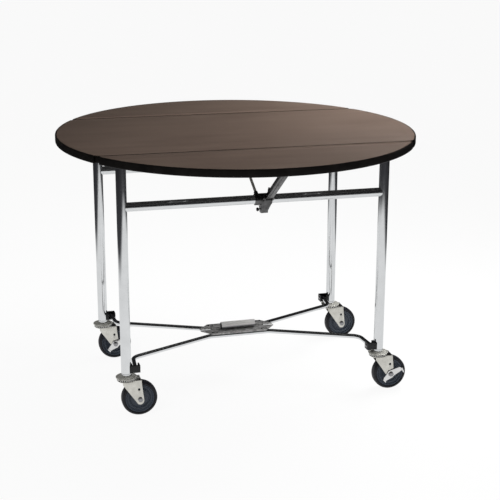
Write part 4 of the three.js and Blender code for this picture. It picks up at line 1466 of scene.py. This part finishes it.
    def axle(self) -> None:
        """Makes the axle with its bolt head and nut."""
        near = self.out + (self.pedal_t if self.braked else 0.0)
        width, height = self.nut
        shape = self.bar((-near - self.thread_out, self.out + self.thread_out), self.thread_r, 28, 0.6)
        hexagon = ellipse((self.hub, WHEEL_R), (width, width), arc(0, 2 * math.pi, 6)[:-1])
        for low, high in ((-near - height, -near), (self.out, self.out + height)):
            shape.join(prism(hexagon, self.y + low, self.y + high, Axis.Y))
        shape.join(self.bar((-self.out, self.out), self.axle_r, 32, 0.2))
        obj = round_edges(mesh_object(self.label("axle_bolt"), shape), 0.5, 40.0, 2)
        dress(obj, Finish.DARK_CHROME, self.label("fork"))

    def wheel(self) -> None:
        """Makes the moulded wheel centre with its rings, and the rubber tyre."""
        place = Matrix.Translation((self.hub, self.y, WHEEL_R)) @ Matrix.Rotation(math.pi / 2, 4, "X")
        disc = revolve(mirrored(self.disc_half), 96, place, closed=True)
        dress(mesh_object(self.label("wheel_disc"), disc), Finish.DISC, self.label("wheel"),
              [self.label("wheel")], 50.0)
        tread = revolve(mirrored(self.tread_half), 96, place, closed=True)
        dress(mesh_object(self.label("tyre_tread"), tread), Finish.TREAD, self.label("wheel"),
              [self.label("tyre")], 60.0)

    def build(self) -> None:
        """Makes the caster."""
        self.race()
        self.balls()
        self.fork()
        self.axle()
        self.wheel()
        if self.braked:
            refine(self.label("brake"), Finish.POLISHED, 0.7, 3)


# ---------------------------------------------------------------- the shot
@dataclass(frozen=True)
class SoftBox:
    """A soft box, in metres and watts."""

    name: str
    place: Point
    aim: Point
    size: Spot
    power: float

    def build(self) -> None:
        """Makes the lamp, which isn't mirrored in the metal."""
        data = bpy.data.lights.new(self.name, "AREA")
        data.shape = "RECTANGLE"
        data.size, data.size_y = self.size
        data.energy = self.power
        obj = place_object(self.name, data)
        obj.location = self.place
        obj.rotation_euler = (Vector(self.aim) - Vector(self.place)).to_track_quat("-Z", "Y").to_euler()
        obj.visible_glossy = False


@dataclass
class Studio:
    """Floor, light and camera, in metres; the camera's angles are in degrees."""

    azimuth: float = -16.83
    elevation: float = 16.85
    roll: float = 0.77
    distance: float = 3.76395
    target: Point = (0.17511, 0.0, 0.36402)
    lens: float = 88.647
    shift: Spot = (-0.08454, 0.0118)
    floor_half: float = 30.0
    floor_tones: tuple[Point, Point] = ((0.90, 0.90, 0.895), (0.88, 0.88, 0.875))
    floor_grain: Grain = Grain(5.0, 2.0)
    floor_roughness: float = 0.9
    floor_gloss: float = 0.1
    floor_lift: float = 0.92
    pool_place: Point = (0.12, 0.42, 0.0)
    pool_scale: Point = (0.25, 0.21, 0.25)
    pool_turn: float = -0.30
    floor_stops: tuple[tuple[float, Point], ...] = (
        (0.0, (0.84, 0.84, 0.845)), (0.39, (0.80, 0.80, 0.805)), (0.49, (0.05, 0.05, 0.055)),
        (1.0, (0.012, 0.012, 0.013)))
    room_stops: tuple[tuple[float, Point], ...] = (
        (0.0, (0.9, 0.9, 0.9)), (0.495, (0.9, 0.9, 0.9)), (0.505, (0.020, 0.020, 0.021)),
        (0.62, (0.014, 0.014, 0.015)), (1.0, (0.02, 0.02, 0.021)))
    backdrop: Point = (0.965, 0.965, 0.965)
    ambient: Point = (0.40, 0.40, 0.40)
    lamps: tuple[SoftBox, ...] = (
        SoftBox("key", (-2.6, -2.4, 3.4), (0.0, 0.0, 0.5), (1.8, 1.8), 50.0),
        SoftBox("fill", (3.4, -1.6, 1.4), (0.0, 0.0, 0.4), (1.6, 1.8), 26.0),
        SoftBox("window", (0.98, 0.32, 1.54), (0.16, 0.0, 0.76), (0.9, 0.9), 32.0))

    def camera(self) -> None:
        """Makes the camera at the photograph's angle."""
        a, e, r = (math.radians(v) for v in (self.azimuth, self.elevation, self.roll))
        back = Vector((math.sin(a) * math.cos(e), -math.cos(a) * math.cos(e), math.sin(e)))
        right = (-back).cross(Vector((0, 0, 1))).normalized()
        up = right.cross(-back)
        turned = math.cos(r) * right + math.sin(r) * up
        lifted = -math.sin(r) * right + math.cos(r) * up
        data = bpy.data.cameras.new("photo_view")
        data.lens = self.lens
        data.shift_x, data.shift_y = self.shift
        obj = place_object("photo_view", data)
        place = Matrix((turned, lifted, back)).transposed().to_4x4()
        place.translation = Vector(self.target) + back * self.distance
        obj.matrix_world = place
        bpy.context.scene.camera = obj

    def floor_paint(self) -> bpy.types.Material:
        """Makes the floor's material.

        The camera sees it as near white with soft shadows. Metal mirrors it as a pale oval pool under the
        table with a dark surround.

        Returns:
            The material.
        """
        paint = Paint("pale_floor")
        pale, dim = (rgba(tone) for tone in self.floor_tones)
        tone = paint.mix(paint.spread(paint.noise(self.floor_grain), 0.0, 1.0), pale, dim)
        matt = paint.principled(Base_Color=tone, Roughness=self.floor_roughness,
                                Specular_IOR_Level=self.floor_gloss)
        turned = paint.add("ShaderNodeMapping", None, {
            "Vector": paint.place(), "Location": self.pool_place, "Rotation": (0.0, 0.0, self.pool_turn)})
        oval = paint.add("ShaderNodeVectorMath", {"operation": "MULTIPLY"}, {0: turned, 1: self.pool_scale})
        reach = paint.add("ShaderNodeVectorMath", {"operation": "LENGTH"}, {0: oval}, "Value")
        pool = paint.ramp(reach, self.floor_stops)
        white = paint.add("ShaderNodeEmission", None, {"Color": (1.0, 1.0, 1.0, 1.0), "Strength": 1.0})
        mirrored_pool = paint.add("ShaderNodeEmission", None, {"Color": pool, "Strength": 1.0})
        camera = paint.add("ShaderNodeLightPath", output="Is Camera Ray")
        glossy = paint.add("ShaderNodeLightPath", output="Is Glossy Ray")
        soft = paint.add("ShaderNodeMixShader", None, {0: camera * self.floor_lift, 1: matt, 2: white})
        return paint.close(paint.add("ShaderNodeMixShader", None, {0: glossy, 1: soft, 2: mirrored_pool}))

    def floor(self) -> None:
        """Makes the floor."""
        half = self.floor_half
        mesh = bpy.data.meshes.new("floor")
        corners = [(-half, -half, 0.0), (half, -half, 0.0), (half, half, 0.0), (-half, half, 0.0)]
        mesh.from_pydata(corners, [], [(0, 1, 2, 3)])
        obj = place_object("floor", mesh)
        mesh.materials.append(self.floor_paint())

    def world(self) -> None:
        """Makes the surround: near white to the camera, dim to matt faces, dark above the floor in metal."""
        world = bpy.data.worlds.new("studio")
        world.use_nodes = True
        bpy.context.scene.world = world
        tree = NodeTree(world.node_tree)
        way = tree.add("ShaderNodeTexCoord", output="Generated")
        height = tree.add("ShaderNodeSeparateXYZ", None, {0: way}, 2)
        room = tree.add("ShaderNodeValToRGB", {"stops": self.room_stops}, {0: height * 0.5 + 0.5}, "Color")
        glossy = tree.add("ShaderNodeLightPath", output="Is Glossy Ray")
        camera = tree.add("ShaderNodeLightPath", output="Is Camera Ray")
        unseen = tree.add("ShaderNodeMix", {"data_type": "RGBA"},
                          {0: glossy, 6: rgba(self.ambient), 7: room}, 2)
        colour = tree.add("ShaderNodeMix", {"data_type": "RGBA"},
                          {0: camera, 6: unseen, 7: rgba(self.backdrop)}, 2)
        ground = tree.add("ShaderNodeBackground", None, {"Color": colour, "Strength": 1.0})
        tree.add("ShaderNodeOutputWorld", None, {"Surface": ground})

    def build(self) -> None:
        """Sets the stage."""
        self.camera()
        self.floor()
        self.world()
        for lamp in self.lamps:
            lamp.build()
        bpy.context.scene.view_settings.view_transform = "Standard"


def main() -> None:
    """Builds the stage and the table."""
    logging.basicConfig(level=logging.INFO, format="%(name)s: %(message)s")
    Studio().build()
    trees = Trees()
    parts: list[Any] = [RoundTop(), *(LeafHinges(trees, side) for side in Side)]
    for side in Side:
        parts += [TubeFrame(trees, side), FoldingStretcher(trees, side), LeafSupport(trees, side)]
    parts += [Caster(trees, "near_left", -LEG_X, -LEG_Y, False),
              Caster(trees, "near_right", LEG_X, -LEG_Y, True),
              Caster(trees, "far_left", -LEG_X, LEG_Y, True),
              Caster(trees, "far_right", LEG_X, LEG_Y, False)]
    for part in parts:
        part.build()


if __name__ == "__main__":
    main()
